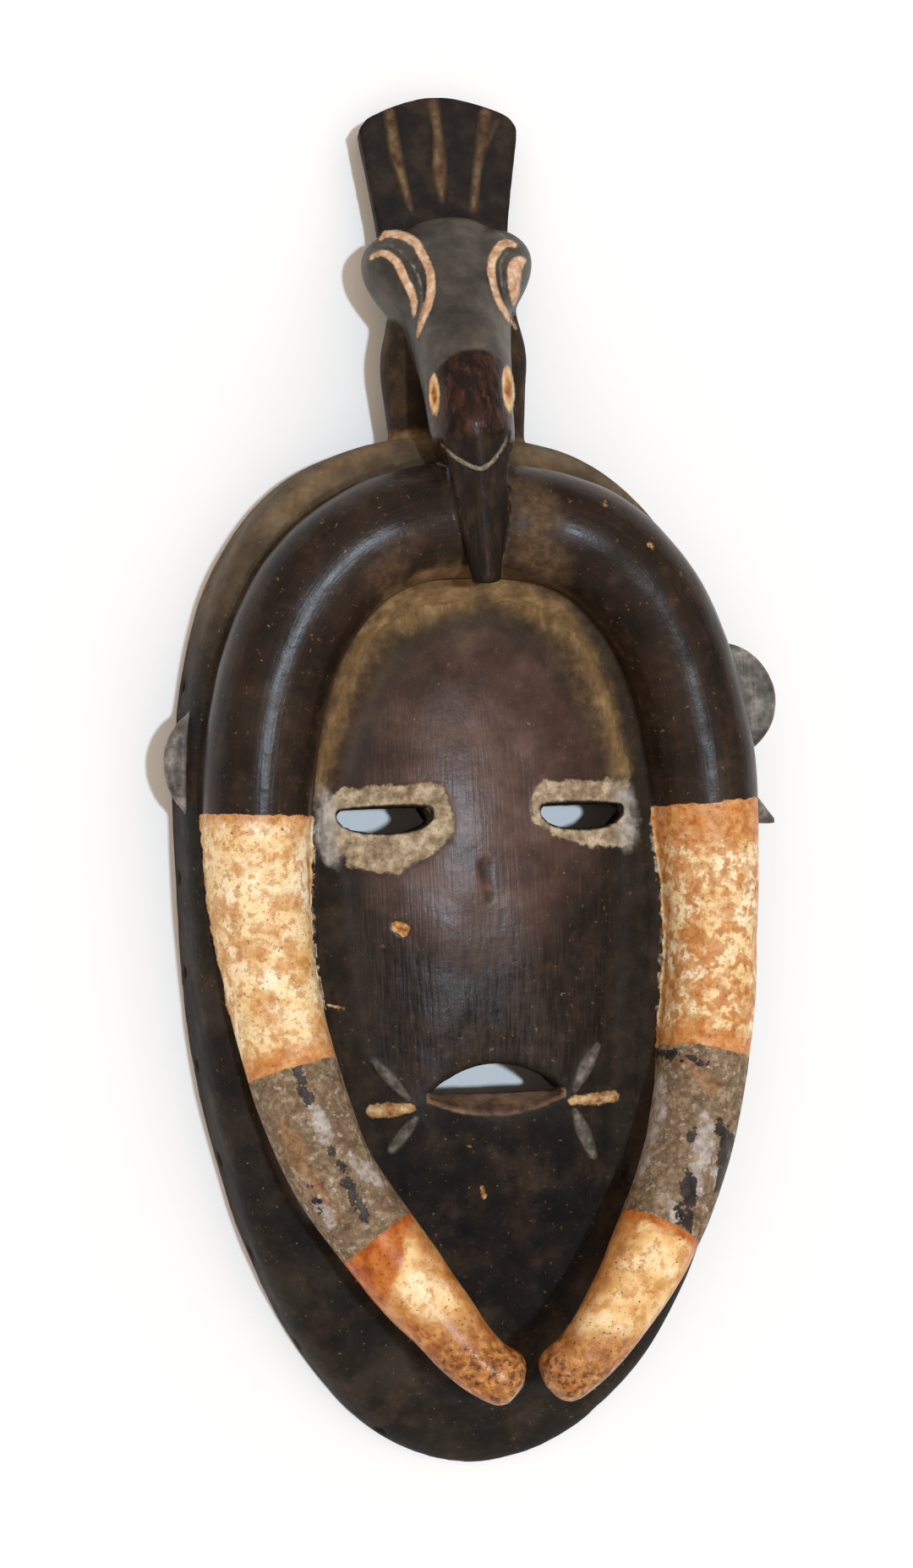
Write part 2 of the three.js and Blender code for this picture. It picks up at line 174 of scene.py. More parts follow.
# The face: a long convex shield with a soft ridge down the middle, set in a shallow recess that
# the carver cut round it. It leans a little against the rim.
face = dict(middle=-20, half_width=55, up=84, down=178, up_power=1.95, down_power=2.8)
face_foot = 16
face_height = dict(edge=37, ridge=51, mouth=43, chin=26)
face_power = dict(side=2, chin=4)
face_slope = dict(side=1, chin=0.5)
ridge_power = dict(up=2.6, mouth=1.6, chin=1.7)
mouth = dict(y=-99, width=45, arch=10.5, corner=0.6, floor=1.2, lip=4.5, lip_depth=7)
lean = dict(slope=0.03, fade_from=-140, fade_to=-180)


def leaned(point):
    point.y -= lean["slope"] * smooth(point.y, lean["fade_to"], lean["fade_from"]) * point.x
    return point


def face_ridge(y):
    if y > face["middle"]:
        up = min(1, (y - face["middle"]) / face["up"])
        return mix(face_height["ridge"], face_height["edge"], up ** ridge_power["up"])
    down = min(1, (face["middle"] - y) / face["down"])
    at_mouth = (face["middle"] - mouth["y"]) / face["down"]
    if down < at_mouth:
        above_mouth = (down / at_mouth) ** ridge_power["mouth"]
        return mix(face_height["ridge"], face_height["mouth"], above_mouth)
    below_mouth = ((down - at_mouth) / (1 - at_mouth)) ** ridge_power["chin"]
    return mix(face_height["mouth"], face_height["chin"], below_mouth)


def face_height_at(angle, x, y):
    down = chin_share(face, angle) ** 2
    edge = mix(face_height["edge"], face_foot, down)
    power = mix(face_power["side"], face_power["chin"], down)
    slope = mix(face_slope["side"], face_slope["chin"], down)
    length = face["up"] if y > face["middle"] else face["down"]
    bend = face["up_power"] if y > face["middle"] else face["down_power"]
    narrow = max(0, 1 - min(1, abs(y - face["middle"]) / length) ** bend) ** (1 / bend)
    across = min(1, abs(x) / max(1, face["half_width"] * narrow))
    return edge + max(0, face_ridge(y) - edge) * (1 - across ** power) ** slope


def face_place(angle, outward, upward):
    return outward, lambda x, y: face_height_at(angle, x, y)


face_form = form("face", pulled(mound(face, 160, 80, face_foot, face_place), leaned))


# The horns: two round bars of the same wood that sweep from the brow round the cheeks and stand
# free over the chin, where they end blunt and close together. A low foot of wood, left by the
# gouge, joins each of them to the face.
horn_path = dict(middle=-33, half_width=72.7, up=115, down=152.5, up_power=2.6, down_power=1.8)
horn_rise = dict(low_y=-20, low=44, root=51, tip=72, saddle=4, saddle_width=34, up_power=2, down_power=1.7)
horn_radius = dict(root=18, brow=17.5, cheek=14.6, wrist=12.8, tip=9.4)
radius_y = dict(root=80, cheek=-50, below=-80, wrist=-150, tip=-180)
horn_bow = dict(left=4.6, right=1.8, start=112, full=155, fade=165, end=186, lost=0.85,
                across=0.72, along=0.69)
brow_shift = 1.5
horn_tip_x = 9.8
horn_overlap = 0.12
foot_width = dict(brow=9, cheek=6, brow_y=60, cheek_y=-40, fade_from=-70, fade_to=-130)
foot = dict(height=9, level=35.5, length=0.78, spread=0.2, inset=0.75)
end_round = 0.75
path_steps = 300


def horn_middle(share, side):
    last = -math.acos((horn_tip_x / horn_path["half_width"]) ** (horn_path["down_power"] / 2))
    angle = mix(math.pi / 2 + horn_overlap, last, share)
    above = math.sin(angle) > 0
    power = horn_path["up_power"] if above else horn_path["down_power"]
    length = horn_path["up"] if above else horn_path["down"]
    x = math.copysign(horn_path["half_width"] * abs(math.cos(angle)) ** (2 / power), math.cos(angle))
    y = horn_path["middle"] + math.copysign(length * abs(math.sin(angle)) ** (2 / power), math.sin(angle))
    top, bottom = horn_path["middle"] + horn_path["up"], horn_path["middle"] - horn_path["down"]
    above_low = max(0, (y - horn_rise["low_y"]) / (top - horn_rise["low_y"]))
    below_low = max(0, (horn_rise["low_y"] - y) / (horn_rise["low_y"] - bottom))
    saddle = horn_rise["saddle"] * (1 - smooth(abs(x), 0, horn_rise["saddle_width"])) if y > 0 else 0
    to_root = (horn_rise["root"] - horn_rise["low"]) * above_low ** horn_rise["up_power"]
    to_tip = (horn_rise["tip"] - horn_rise["low"]) * below_low ** horn_rise["down_power"]
    z = horn_rise["low"] + to_root - saddle + to_tip
    bow = horn_bow["right" if side > 0 else "left"] * smooth(-y, horn_bow["start"], horn_bow["full"])
    bow *= 1 - horn_bow["lost"] * smooth(-y, horn_bow["fade"], horn_bow["end"])
    return Vector((side * (x - horn_bow["across"] * bow) + brow_shift * above_low,
                   y + horn_bow["along"] * bow, z))


def horn_thickness(y):
    if y > 0:
        return mix(horn_radius["brow"], horn_radius["root"], min(1, y / radius_y["root"]))
    if y > radius_y["below"]:
        return mix(horn_radius["brow"], horn_radius["cheek"], min(1, y / radius_y["cheek"]))
    if y > radius_y["wrist"]:
        down = (radius_y["below"] - y) / (radius_y["below"] - radius_y["wrist"])
        return mix(horn_radius["cheek"], horn_radius["wrist"], down)
    down = (radius_y["wrist"] - y) / (radius_y["wrist"] - radius_y["tip"])
    return mix(horn_radius["wrist"], horn_radius["tip"], min(1, down))


def drawn_out(path, size, around, rings):
    steps = path_steps
    stops = [path(step / steps) for step in range(steps + 1)]
    travelled = [0]
    for before, after in zip(stops, stops[1:]):
        travelled.append(travelled[-1] + (after - before).length)
    total = travelled[-1]
    first, last = (end_round * min(size(stops[end], end / steps)) for end in (0, steps))

    def place(point):
        turn = math.acos(min(1, max(-1, point.z))) / math.pi
        along = mix(-first, total + last, turn)
        beyond = -along / first if along < 0 else max(0, (along - total) / last)
        inside = min(total, max(0, along))
        step = min(steps - 1, int(np.searchsorted(travelled, inside, side="right")) - 1)
        part = (inside - travelled[step]) / (travelled[step + 1] - travelled[step])
        middle = stops[step].lerp(stops[step + 1], part)
        low, high = max(0, step - 2), min(steps, step + 3)
        onward = (stops[high] - stops[low]).normalized()
        sideways = onward.cross(Vector((0, 0, 1))).normalized()
        outward = sideways.cross(onward).normalized()
        half_width, half_depth = size(middle, (step + part) / steps)
        ring = math.sqrt(max(0, 1 - beyond * beyond))
        flat = Vector((point.x, point.y))
        flat = flat.normalized() * ring if flat.length > 1e-6 else Vector((0, 0))
        return (middle + sideways * flat.x * half_width + outward * flat.y * half_depth
                + onward * (along - inside))
    return pulled(ball(around, rings), place)


def horn_form(name, side):
    def thickness(middle, share):
        radius = horn_thickness(middle.y)
        return radius, radius
    shape = drawn_out(lambda share: horn_middle(share, side), thickness, 48, 150)
    return form(name, pulled(shape, leaned))


def foot_form(name, side):
    def width(y):
        up_brow = smooth(y, foot_width["cheek_y"], foot_width["brow_y"])
        wide = mix(foot_width["cheek"], foot_width["brow"], up_brow)
        return wide * smooth(y, foot_width["fade_to"], foot_width["fade_from"])

    def spread(middle, share):
        return horn_thickness(middle.y) + foot["spread"] * width(middle.y), foot["height"]

    def path(share):
        middle = horn_middle(share * foot["length"], side)
        inward = Vector((0, horn_path["middle"], 0)) - Vector((middle.x, middle.y, 0))
        middle += inward.normalized() * foot["inset"] * width(middle.y)
        middle.z = foot["level"]
        return middle
    return form(name, pulled(drawn_out(path, spread, 48, 120), leaned))


horns = [horn_form("horn_left", -1), horn_form("horn_right", 1)]
horns += [foot_form("foot_left", -1), foot_form("foot_right", 1)]


# The ears and the spur: two small cupped discs and one thorn, left standing on the side walls.
ear = dict(radius=19.2, height=24, thickness=8, tilt=14, edge_power=0.45, cup=0.55, cup_power=4)
ear_places = [(-79.3, 10), (84, 22.2)]
spur = dict(x=86, y=-5.5, z=20, length=17.5, radius=12, point=0.8, droop=0.7)


def ear_form(name, place):
    def cupped(point):
        outward = math.hypot(point.x, point.y)
        blunt = math.copysign(abs(point.z) ** ear["edge_power"], point.z)
        cup = 1 - ear["cup"] * (1 - outward ** ear["cup_power"]) if point.z > 0 else 1
        return Vector((point.x * ear["radius"], point.y * ear["radius"], blunt * cup * ear["thickness"] / 2))
    shape = pulled(ball(64, 32), cupped)
    tilt = Matrix.Rotation(math.radians(math.copysign(ear["tilt"], -place[0])), 4, "Y")
    bmesh.ops.transform(shape, verts=shape.verts, matrix=tilt)
    bmesh.ops.translate(shape, verts=shape.verts, vec=(place[0], place[1], ear["height"]))
    return form(name, shape)


def spur_form():
    shape = bmesh.new()
    bmesh.ops.create_cone(shape, segments=24, cap_ends=True, radius1=spur["radius"], radius2=spur["point"],
                          depth=spur["length"])
    lie = Matrix.Rotation(math.pi / 2, 4, "Y")
    bmesh.ops.transform(shape, verts=shape.verts, matrix=lie)

    def droop(point):
        out = point.x + spur["length"] / 2
        return Vector((spur["x"] + out, spur["y"] + point.y - spur["droop"] * out, spur["z"] + point.z))
    return form("spur", pulled(shape, droop))


sides = [ear_form("ear_left", ear_places[0]), ear_form("ear_right", ear_places[1]), spur_form()]


# The bird on the crown: a broad neck rising from the shell, a head with two bulging eyes, a long
# beak that comes down on the brow, and a fan crest. It is turned a little to its left.
bird_turn = dict(slope=0.09, from_z=60)
crest = dict(bottom_y=168, corner_y=212.5, top_y=220.3, top_power=1.8, bottom_width=40, top_width=51,
             width_power=1.25, back=3, front=18, flare=1.06)
crest_corner = dict(start=0.84, width=0.16, drop=2.6, power=2.5)
# Along the head, from nape to muzzle: place, height, half width and half depth.
head_stops = [(171, 21, 17, 12), (157, 28, 19, 16.5), (142, 37.5, 16.5, 18), (126, 47, 14.5, 18.5),
              (107, 56, 13, 15.5)]
lobe = dict(places=(-15.4, 13.4), y=158, z=28, half_width=10.5, half_length=19, half_depth=14.5,
            turns=(11, -6), tilt=-26, taper=0.68)
beak = dict(top_y=108, tip_y=61.5, top_width=22.5, tip_width=9, width_power=0.9, top_z=70.5, tip_z=73,
            edge=5.5, depth=16, tip_share=0.75, under_share=0.8)
neck = dict(bottom_y=96, top_y=152, half_width=22, swell=1.8, swell_from=0.2, swell_to=0.7, shrink=1.8,
            back=5, front=29, corner=0.16, round=2.2, rise=6)


def turned(point):
    point.x += bird_turn["slope"] * (bird_turn["from_z"] - point.z)
    return point


def crest_form():
    shape = bmesh.new()
    bmesh.ops.create_grid(shape, x_segments=48, y_segments=48, size=1)

    def fan(point):
        across = point.x
        corner = max(0, abs(across) - crest_corner["start"]) / crest_corner["width"]
        top = crest["top_y"] - (crest["top_y"] - crest["corner_y"]) * abs(across) ** crest["top_power"]
        top -= crest_corner["drop"] * corner ** crest_corner["power"]
        share = (point.y + 1) / 2
        half = mix(crest["bottom_width"], crest["top_width"], share ** crest["width_power"]) / 2
        return Vector((across * half, mix(crest["bottom_y"], top, share), crest["back"]))
    pulled(shape, fan)
    slab = bmesh.ops.extrude_face_region(shape, geom=shape.faces[:])
    lifted = [item for item in slab["geom"] if isinstance(item, bmesh.types.BMVert)]
    bmesh.ops.translate(shape, verts=lifted, vec=(0, 0, crest["front"] - crest["back"]))
    bmesh.ops.scale(shape, verts=[vert for vert in lifted if vert.co.x < 0], vec=(crest["flare"], 1, 1))
    return form("crest", pulled(shape, turned))


def through(stops, share):
    place = share * (len(stops) - 1)
    step = min(len(stops) - 2, int(place))
    part = place - step
    before, start = stops[max(0, step - 1)], stops[step]
    end, after = stops[step + 1], stops[min(len(stops) - 1, step + 2)]
    return [0.5 * (2 * b + (c - a) * part + (2 * a - 5 * b + 4 * c - d) * part ** 2
                   + (3 * b - a - 3 * c + d) * part ** 3)
            for a, b, c, d in zip(before, start, end, after)]


def head_path(share):
    y, z = through(head_stops, share)[:2]
    return Vector((0, y, z))


def head_size(middle, share):
    return through(head_stops, share)[2:]


head_form = form("head", pulled(drawn_out(head_path, head_size, 48, 64), turned))


def lobe_form(name, side):
    def bulge(point):
        return Vector((point.x * lobe["half_width"] * (1 + lobe["taper"] * point.y),
                       point.y * lobe["half_length"], point.z * lobe["half_depth"]))
    shape = pulled(ball(40, 32), bulge)
    place = (Matrix.Translation((lobe["places"][side > 0], lobe["y"], lobe["z"]))
             @ Matrix.Rotation(math.radians(lobe["turns"][side > 0]), 4, "Z")
             @ Matrix.Rotation(math.radians(lobe["tilt"]), 4, "X"))
    bmesh.ops.transform(shape, verts=shape.verts, matrix=place)
    return form(name, pulled(shape, turned))


def block(cuts):
    shape = bmesh.new()
    bmesh.ops.create_cube(shape, size=1)
    bmesh.ops.subdivide_edges(shape, edges=shape.edges[:], cuts=cuts, use_grid_fill=True)
    return shape


def beak_form():
    def roof(point):
        down = 0.5 - point.y
        width = mix(beak["top_width"], beak["tip_width"], down ** beak["width_power"])
        ridge = mix(beak["top_z"], beak["tip_z"], down)
        flatter = mix(1, beak["tip_share"], down)
        top = ridge - 2 * abs(point.x) * beak["edge"] * flatter
        rise = point.z + 0.5
        return Vector((point.x * width * mix(beak["under_share"], 1, rise),
                       mix(beak["top_y"], beak["tip_y"], down),
                       mix(ridge - beak["depth"] * flatter, top, rise)))
    return form("beak", pulled(pulled(block(16), roof), turned))


def neck_form():
    def post(point):
        rise = point.y + 0.5
        widening = smooth(rise, neck["swell_from"], neck["swell_to"])
        widening -= neck["shrink"] * smooth(rise, neck["swell_to"], 1)
        half = neck["half_width"] + neck["swell"] * widening
        corner = 1 - neck["corner"] * (2 * point.z) ** 4
        z = mix(neck["back"], neck["front"], point.z + 0.5)
        z -= neck["round"] * (2 * point.x) ** 4 * math.copysign(1, point.z)
        return Vector((2 * point.x * half * corner, mix(neck["bottom_y"], neck["top_y"], rise),
                       z + neck["rise"] * rise ** 2))
    return form("neck", pulled(pulled(block(12), post), turned))


lobes = [lobe_form("lobe_left", -1), lobe_form("lobe_right", 1)]
bird = [crest_form(), head_form] + lobes + [beak_form(), neck_form()]


# What is cut away: the hollow behind the face, the slots for the eyes and the mouth, the shelf of
# the lower lip, and the row of small holes drilled along the rim for a cord.
rim_width = dict(side=8, chin=13)
hollow_height = dict(brow=39, chin=27)
hollow_power = 2.2
hollow_slope = 1.4
eye = dict(x=31.8, y=-10, width=28.5, height=8, corner=0.8, above=0.36, above_power=0.5, below=0.64,
           below_power=1.1, lid_slope=0.12)
mouth_power = dict(arch=0.85, floor=0.4)
slot_reach = (10, 70)
lip_cut = dict(width=0.97, start=0.1, height=3)
tie_hole = dict(radius=1.9, depth=60, height=8.5, count=10, top_y=66, bottom_y=-207)


def hollow_form():
    inside = dict(rim, half_width=rim["half_width"] - rim_width["side"], up=rim["up"] - rim_width["side"],
                  down=rim["down"] - rim_width["chin"])

    def vault(angle, outward, upward):
        def height(x, y):
            down = max(0, (inside["middle"] - y) / inside["down"])
            top = mix(hollow_height["brow"], hollow_height["chin"], down ** hollow_slope)
            return -1 + (top + 1) * upward ** (2 / hollow_power)
        return outward ** (2 / hollow_power), height
    return form("hollow", mound(inside, 128, 64, -1, vault))


def slot_form(name, outline, place):
    low, high = slot_reach
    shape = bmesh.new()
    bmesh.ops.create_circle(shape, cap_ends=True, segments=96, radius=1)
    pulled(shape, lambda point: Vector((*outline(math.atan2(point.y, point.x)), low)))
    top = bmesh.ops.extrude_face_region(shape, geom=shape.faces[:])
    lifted = [item for item in top["geom"] if isinstance(item, bmesh.types.BMVert)]
    bmesh.ops.translate(shape, verts=lifted, vec=(0, 0, high - low))
    return form(name, pulled(shape, place))


def eye_outline(angle):
    across, rise = math.cos(angle), math.sin(angle)
    x = math.copysign(abs(across) ** eye["corner"], across) * eye["width"] / 2
    if rise > 0:
        return x, eye["above"] * eye["height"] * rise ** eye["above_power"]
    return x, -eye["below"] * eye["height"] * abs(rise) ** eye["below_power"]


def mouth_outline(angle):
    across, rise = math.cos(angle), math.sin(angle)
    half = mouth["width"] / 2
    if rise > 0:
        arch = (1 - across ** 2) ** mouth_power["arch"]
        return across * half, mouth["corner"] + (mouth["arch"] - mouth["corner"]) * arch
    return across * half, mouth["floor"] * abs(rise) ** mouth_power["floor"]


def at_eye(side):
    def place(point):
        if point.y > 0:
            point.y = max(0, point.y + eye["lid_slope"] * (point.z - face_height["ridge"]))
        return leaned(point + Vector((side * eye["x"], eye["y"], 0)))
    return place


def at_mouth(point):
    return leaned(point + Vector((0, mouth["y"], 0)))


def lip_form():
    shape = bmesh.new()
    bmesh.ops.create_grid(shape, x_segments=32, y_segments=1, size=1)

    def shelf(point):
        half = lip_cut["width"] * mouth["width"] / 2
        drop = mouth["lip"] * (1 - point.x ** 2) if point.y < 0 else -mouth["floor"]
        return Vector((point.x * half, -drop, 0))
    pulled(shape, shelf)
    top = bmesh.ops.extrude_face_region(shape, geom=shape.faces[:])
    lifted = [item for item in top["geom"] if isinstance(item, bmesh.types.BMVert)]
    bmesh.ops.translate(shape, verts=lifted, vec=(0, 0, lip_cut["height"] * mouth["lip_depth"]))

    def slope(point):
        reach = lip_cut["start"] + point.z / mouth["lip_depth"]
        y = point.y * reach if point.y < 0 else point.y
        return leaned(Vector((point.x, mouth["y"] + y, face_height["mouth"] - mouth["lip_depth"] + point.z)))
    return form("lip_shelf", pulled(shape, slope))


def tie_hole_form(name, side, y):
    above = y > rim["middle"]
    power = rim["up_power"] if above else rim["down_power"]
    length = rim["up"] if above else rim["down"]
    x = side * rim["half_width"] * (1 - abs((y - rim["middle"]) / length) ** power) ** (1 / power)
    shape = bmesh.new()
    bmesh.ops.create_cone(shape, segments=16, cap_ends=True, radius1=tie_hole["radius"],
                          radius2=tie_hole["radius"], depth=tie_hole["depth"])
    turn = Matrix.Rotation(math.atan2(y - rim["middle"], x), 4, "Z") @ Matrix.Rotation(math.pi / 2, 4, "Y")
    place = Matrix.Translation((x, y, tie_hole["height"])) @ turn
    bmesh.ops.transform(shape, verts=shape.verts, matrix=place)
    return form(name, shape)


cuts = [hollow_form(), lip_form()]
cuts += [slot_form(f"eye_slot_{side}", eye_outline, at_eye(side)) for side in (-1, 1)]
cuts.append(slot_form("mouth_slot", mouth_outline, at_mouth))
for side in (-1, 1):
    for number in range(tie_hole["count"]):
        y = mix(tie_hole["top_y"], tie_hole["bottom_y"], number / (tie_hole["count"] - 1))
        cuts.append(tie_hole_form(f"tie_hole_{side}_{number}", side, y))


# The carving: one block of wood, so its forms are joined, the openings are cut out of them, and the
# whole is rubbed down the way a rasp and a knife leave it. A gouge rounds the valley between the
# horns and the face. Then come the small cuts: flutes, eye rims, nostrils and lip.
grain = 0.95
rubbing = 5
valley_rubbing = 170
knife_waves = [(26, 0.5), (9, 0.16)]
front_share = 0.35
most_faces = 186000
box_margin = 0.02
far = 12
outside = 99.0
facing = -look


def carved(blocks, cuts):
    body = blocks[0]
    work = [(block, "UNION") for block in blocks[1:]] + [(cut, "DIFFERENCE") for cut in cuts]
    for number, (other, operation) in enumerate(work):
        step = body.modifiers.new(f"step_{number}", "BOOLEAN")
        step.operation = operation
        step.solver = "MANIFOLD"
        step.object = other
    skin = body.modifiers.new("skin", "REMESH")
    skin.mode = "VOXEL"
    skin.voxel_size = grain / 1000
    rub = body.modifiers.new("rub", "SMOOTH")
    rub.factor = 0.5
    rub.iterations = rubbing
    mesh = bpy.data.meshes.new_from_object(body.evaluated_get(bpy.context.evaluated_depsgraph_get()))
    mesh.materials.clear()
    body.modifiers.clear()
    return mesh


def places_of(mesh):
    places = np.empty(len(mesh.vertices) * 3, dtype=np.float32)
    mesh.vertices.foreach_get("co", places)
    return places.reshape(-1, 3).astype(float) * 1000 + np.array(layout_middle)


def normals_of(mesh):
    normals = np.empty(len(mesh.vertices) * 3, dtype=np.float32)
    mesh.vertex_normals.foreach_get("vector", normals)
    return normals.reshape(-1, 3).astype(float)


def move_to(mesh, places):
    mesh.vertices.foreach_set("co", ((places - np.array(layout_middle)) / 1000).astype(np.float32).ravel())
    mesh.update()


def rubbed(mesh, places, times, share):
    edges = np.empty(len(mesh.edges) * 2, dtype=np.int32)
    mesh.edges.foreach_get("vertices", edges)
    ends = np.concatenate([edges[0::2], edges[1::2]])
    others = np.concatenate([edges[1::2], edges[0::2]])
    count = np.maximum(1, np.bincount(ends, minlength=len(places)))
    for turn in range(times):
        middle = np.stack([np.bincount(ends, places[others, axis], len(places)) for axis in range(3)], 1)
        places = places + share * (middle / count[:, None] - places)
    return places


def eased(values, low, high):
    share = np.clip((values - low) / (high - low), 0, 1)
    return share * share * (3 - 2 * share)


camera_place = np.array(view_aim - view_distance * look)
picture_x = np.array(right * math.cos(view_roll) - up * math.sin(view_roll))
picture_y = np.array(right * math.sin(view_roll) + up * math.cos(view_roll))


def seen_from_front(places):
    offsets = places - camera_place
    depth = offsets @ np.array(look) / view_distance
    return np.stack([offsets @ picture_x / depth, offsets @ picture_y / depth], 1)


def stroke(spots, curve):
    steps = 8 * (len(curve) - 1)
    stops = np.array([through(curve, step / steps) for step in range(steps + 1)])
    line, half_width = stops[:, :2], stops[:, 2]
    nearest = np.full(len(spots), outside)
    near = np.where(np.all((spots > line.min(0) - far) & (spots < line.max(0) + far), axis=1))[0]
    spots = spots[near]
    best = np.full(len(spots), outside)
    for step in range(steps):
        run = line[step + 1] - line[step]
        part = np.clip((spots - line[step]) @ run / max(1e-9, run @ run), 0, 1)
        gap = np.linalg.norm(spots - line[step] - part[:, None] * run, axis=1)
        best = np.minimum(best, gap - (half_width[step] + part * (half_width[step + 1] - half_width[step])))
    nearest[near] = best
    return nearest


def strokes(spots, curves):
    return np.min([stroke(spots, curve) for curve in curves], axis=0)


def patch(spots, corners):
    corners = np.array(corners)
    inside = np.zeros(len(spots), dtype=bool)
    gap = np.full(len(spots), outside)
    for start, end in zip(corners, np.roll(corners, -1, axis=0)):
        run = end - start
        part = np.clip((spots - start) @ run / (run @ run), 0, 1)
        gap = np.minimum(gap, np.linalg.norm(spots - start - part[:, None] * run, axis=1))
        crosses = (start[1] > spots[:, 1]) != (end[1] > spots[:, 1])
        rise = run[1] if abs(run[1]) > 1e-9 else 1e-9
        inside ^= crosses & (spots[:, 0] < start[0] + (spots[:, 1] - start[1]) / rise * run[0])
    return np.where(inside, -gap, gap)


def ellipse(spots, middle, half_width, half_length, turn=0):
    offset = spots - np.array(middle)
    angle = math.radians(turn)
    x = offset[:, 0] * math.cos(angle) + offset[:, 1] * math.sin(angle)
    y = -offset[:, 0] * math.sin(angle) + offset[:, 1] * math.cos(angle)
    return (np.hypot(x / half_width, y / half_length) - 1) * min(half_width, half_length)


# Places are millimetres as the front view shows them. A stroke's points also give its half width.
flutes = [
    [(-21.5, 214.1, 1.6), (-19.4, 201.2, 1.9), (-17.2, 192.6, 1.4), (-14.5, 182.9, 0.6)],
    [(-7.5, 216.8, 1.7), (-5.9, 206.6, 1.4), (-5.4, 195.8, 2.2), (-4.6, 185.6, 0.6)],
    [(9.2, 213.6, 1.8), (7.5, 201.2, 1.6), (6.5, 194.8, 1.4), (5.4, 182.9, 1.2)],
    [(12.9, 210.9, 0.4), (8.1, 200.1, 0.7)],
]
nape = [(-9.2, 178.1, 0.5), (-3.2, 180.2, 0.7), (0, 181.8, 0.7), (8.6, 180.2, 0.7), (16.2, 174.3, 0.5)]
eye_rims = [
    [(-24.2, 173.8, 0.5), (-22.1, 175.1, 0.9), (-17.8, 174.8, 1.2), (-13.5, 172.7, 1.3), (-10.8, 168.4, 1.2),
     (-8.6, 163.5, 1.2), (-8.2, 158.1, 1.3), (-8.9, 153.3, 1.2), (-11, 147.4, 0.9), (-12.4, 142.5, 0.3)],
    [(18.8, 171.6, 0.6), (15.1, 172.1, 1.2), (12.4, 168.9, 1.3), (11, 164.6, 1.1), (11.8, 159.2, 1),
     (13.5, 153.8, 0.9), (16.2, 149, 0.8), (18.8, 145.2, 0.4)],
]
eyeball_rims = [
    [(-27.5, 167.3, 0.4), (-24.8, 168.9, 0.8), (-21.5, 168.4, 1.1), (-18.8, 165.7, 1.2), (-16.4, 160.8, 1.2),
     (-14.3, 156.5, 1.1), (-13.5, 152.8, 0.9), (-13.7, 149, 0.4)],
    [(20.6, 166.6, 1.4), (18.9, 165.2, 2.1), (18.4, 161.5, 2), (18.4, 157, 1.6), (19.2, 152.5, 1.1),
     (19.9, 149, 0.5)],
]
eye_grooves = [
    [(-25.8, 171.1, 0.6), (-22.6, 171.9, 0.8), (-18.8, 170.6, 0.8), (-15.2, 167.2, 0.8), (-12.5, 162.4, 0.8),
     (-11.2, 157.6, 0.8), (-11.1, 152.8, 0.7), (-12.3, 146.8, 0.3)],
    [(19.4, 169.4, 0.5), (16.6, 169.5, 0.6), (14.5, 166.8, 0.7), (14, 163, 0.7), (14.8, 157.6, 0.6),
     (16.7, 152.8, 0.5), (19.1, 147.4, 0.3)],
]
nostrils = [((-7.1, 124), 1.6, 6.1, 2), ((16.5, 125.8), 1.8, 6.8, 4)]
lip_line = [(-4.8, 108.1, 0.3), (0, 103.8, 0.5), (7, 100.5, 0.6), (10.8, 102.2, 0.6), (14, 105.9, 0.5),
            (16.7, 111.3, 0.3)]
surrounds = [
    [(-35.5, -1.2), (-4.8, -0.1), (-2.7, -6.1), (-0.8, -10.6), (-1.3, -16.8), (-8.1, -22.2), (-18.8, -28.9),
     (-35, -27.1), (-35.8, -23), (-41.2, -23), (-43.1, -6.9)],
    [(26.1, 0.7), (54.6, 1.5), (56, -18.7), (45.8, -20.1), (33.1, -17.4), (26.1, -13.3), (23.7, -8.7),
     (25, -1.5)],
]
leaves = [
    [(-26.9, -87.6, 0.4), (-21.5, -93.5, 1.5), (-15.3, -100.3, 0.5)],
    [(-12.7, -106.2, 0.4), (-16.4, -111, 1.6), (-20.7, -116.4, 1.1)],
    [(37.7, -97.6, 0.5), (41.2, -90.3, 1.9), (45, -83.3, 0.7)],
    [(37.7, -103.8, 0.5), (40.4, -110.5, 1.9), (43.6, -118.3, 1)],
]
bars = [
    [(-26.4, -104.3, 2.1), (-20, -103.8, 2), (-14.4, -103.2, 1.3)],
    [(36.6, -100.8, 1.1), (43, -100.3, 1.7), (50, -99.5, 1.7)],
]
chips = [
    [(-19.5, -45.2, 1.3), (-17, -46.4, 1.9)],
    [(8.1, -128, 0.2), (8.8, -131.8, 0.5)],
    [(47.2, 89.5, 0.6), (48, 88.8, 0.3)],
    [(61.4, 76.4, 0.6), (62.3, 75.4, 0.4)],
    [(-42.2, -70, 0.1), (-36, -71.6, 0.2)],
]
dents = [
    [(9.2, -26, 2), (9.6, -31, 1.7), (10.6, -36.5, 1.2)],
    [(50.5, 45, 0.2), (53, 41.5, 0.6)],
]


# The heights of the crest, the face and the beak, so that a cut stays on its own form.
crest_front = 18
face_between = (30, 60)
beak_above = 55
# A cut fades out where the wood turns away from the front.
cut_fade = (0.05, 0.35)


def patches(spots, shapes):
    return np.min([patch(spots, corners) for corners in shapes], axis=0)


def ellipses(spots, ovals):
    return np.min([ellipse(spots, *oval) for oval in ovals], axis=0)


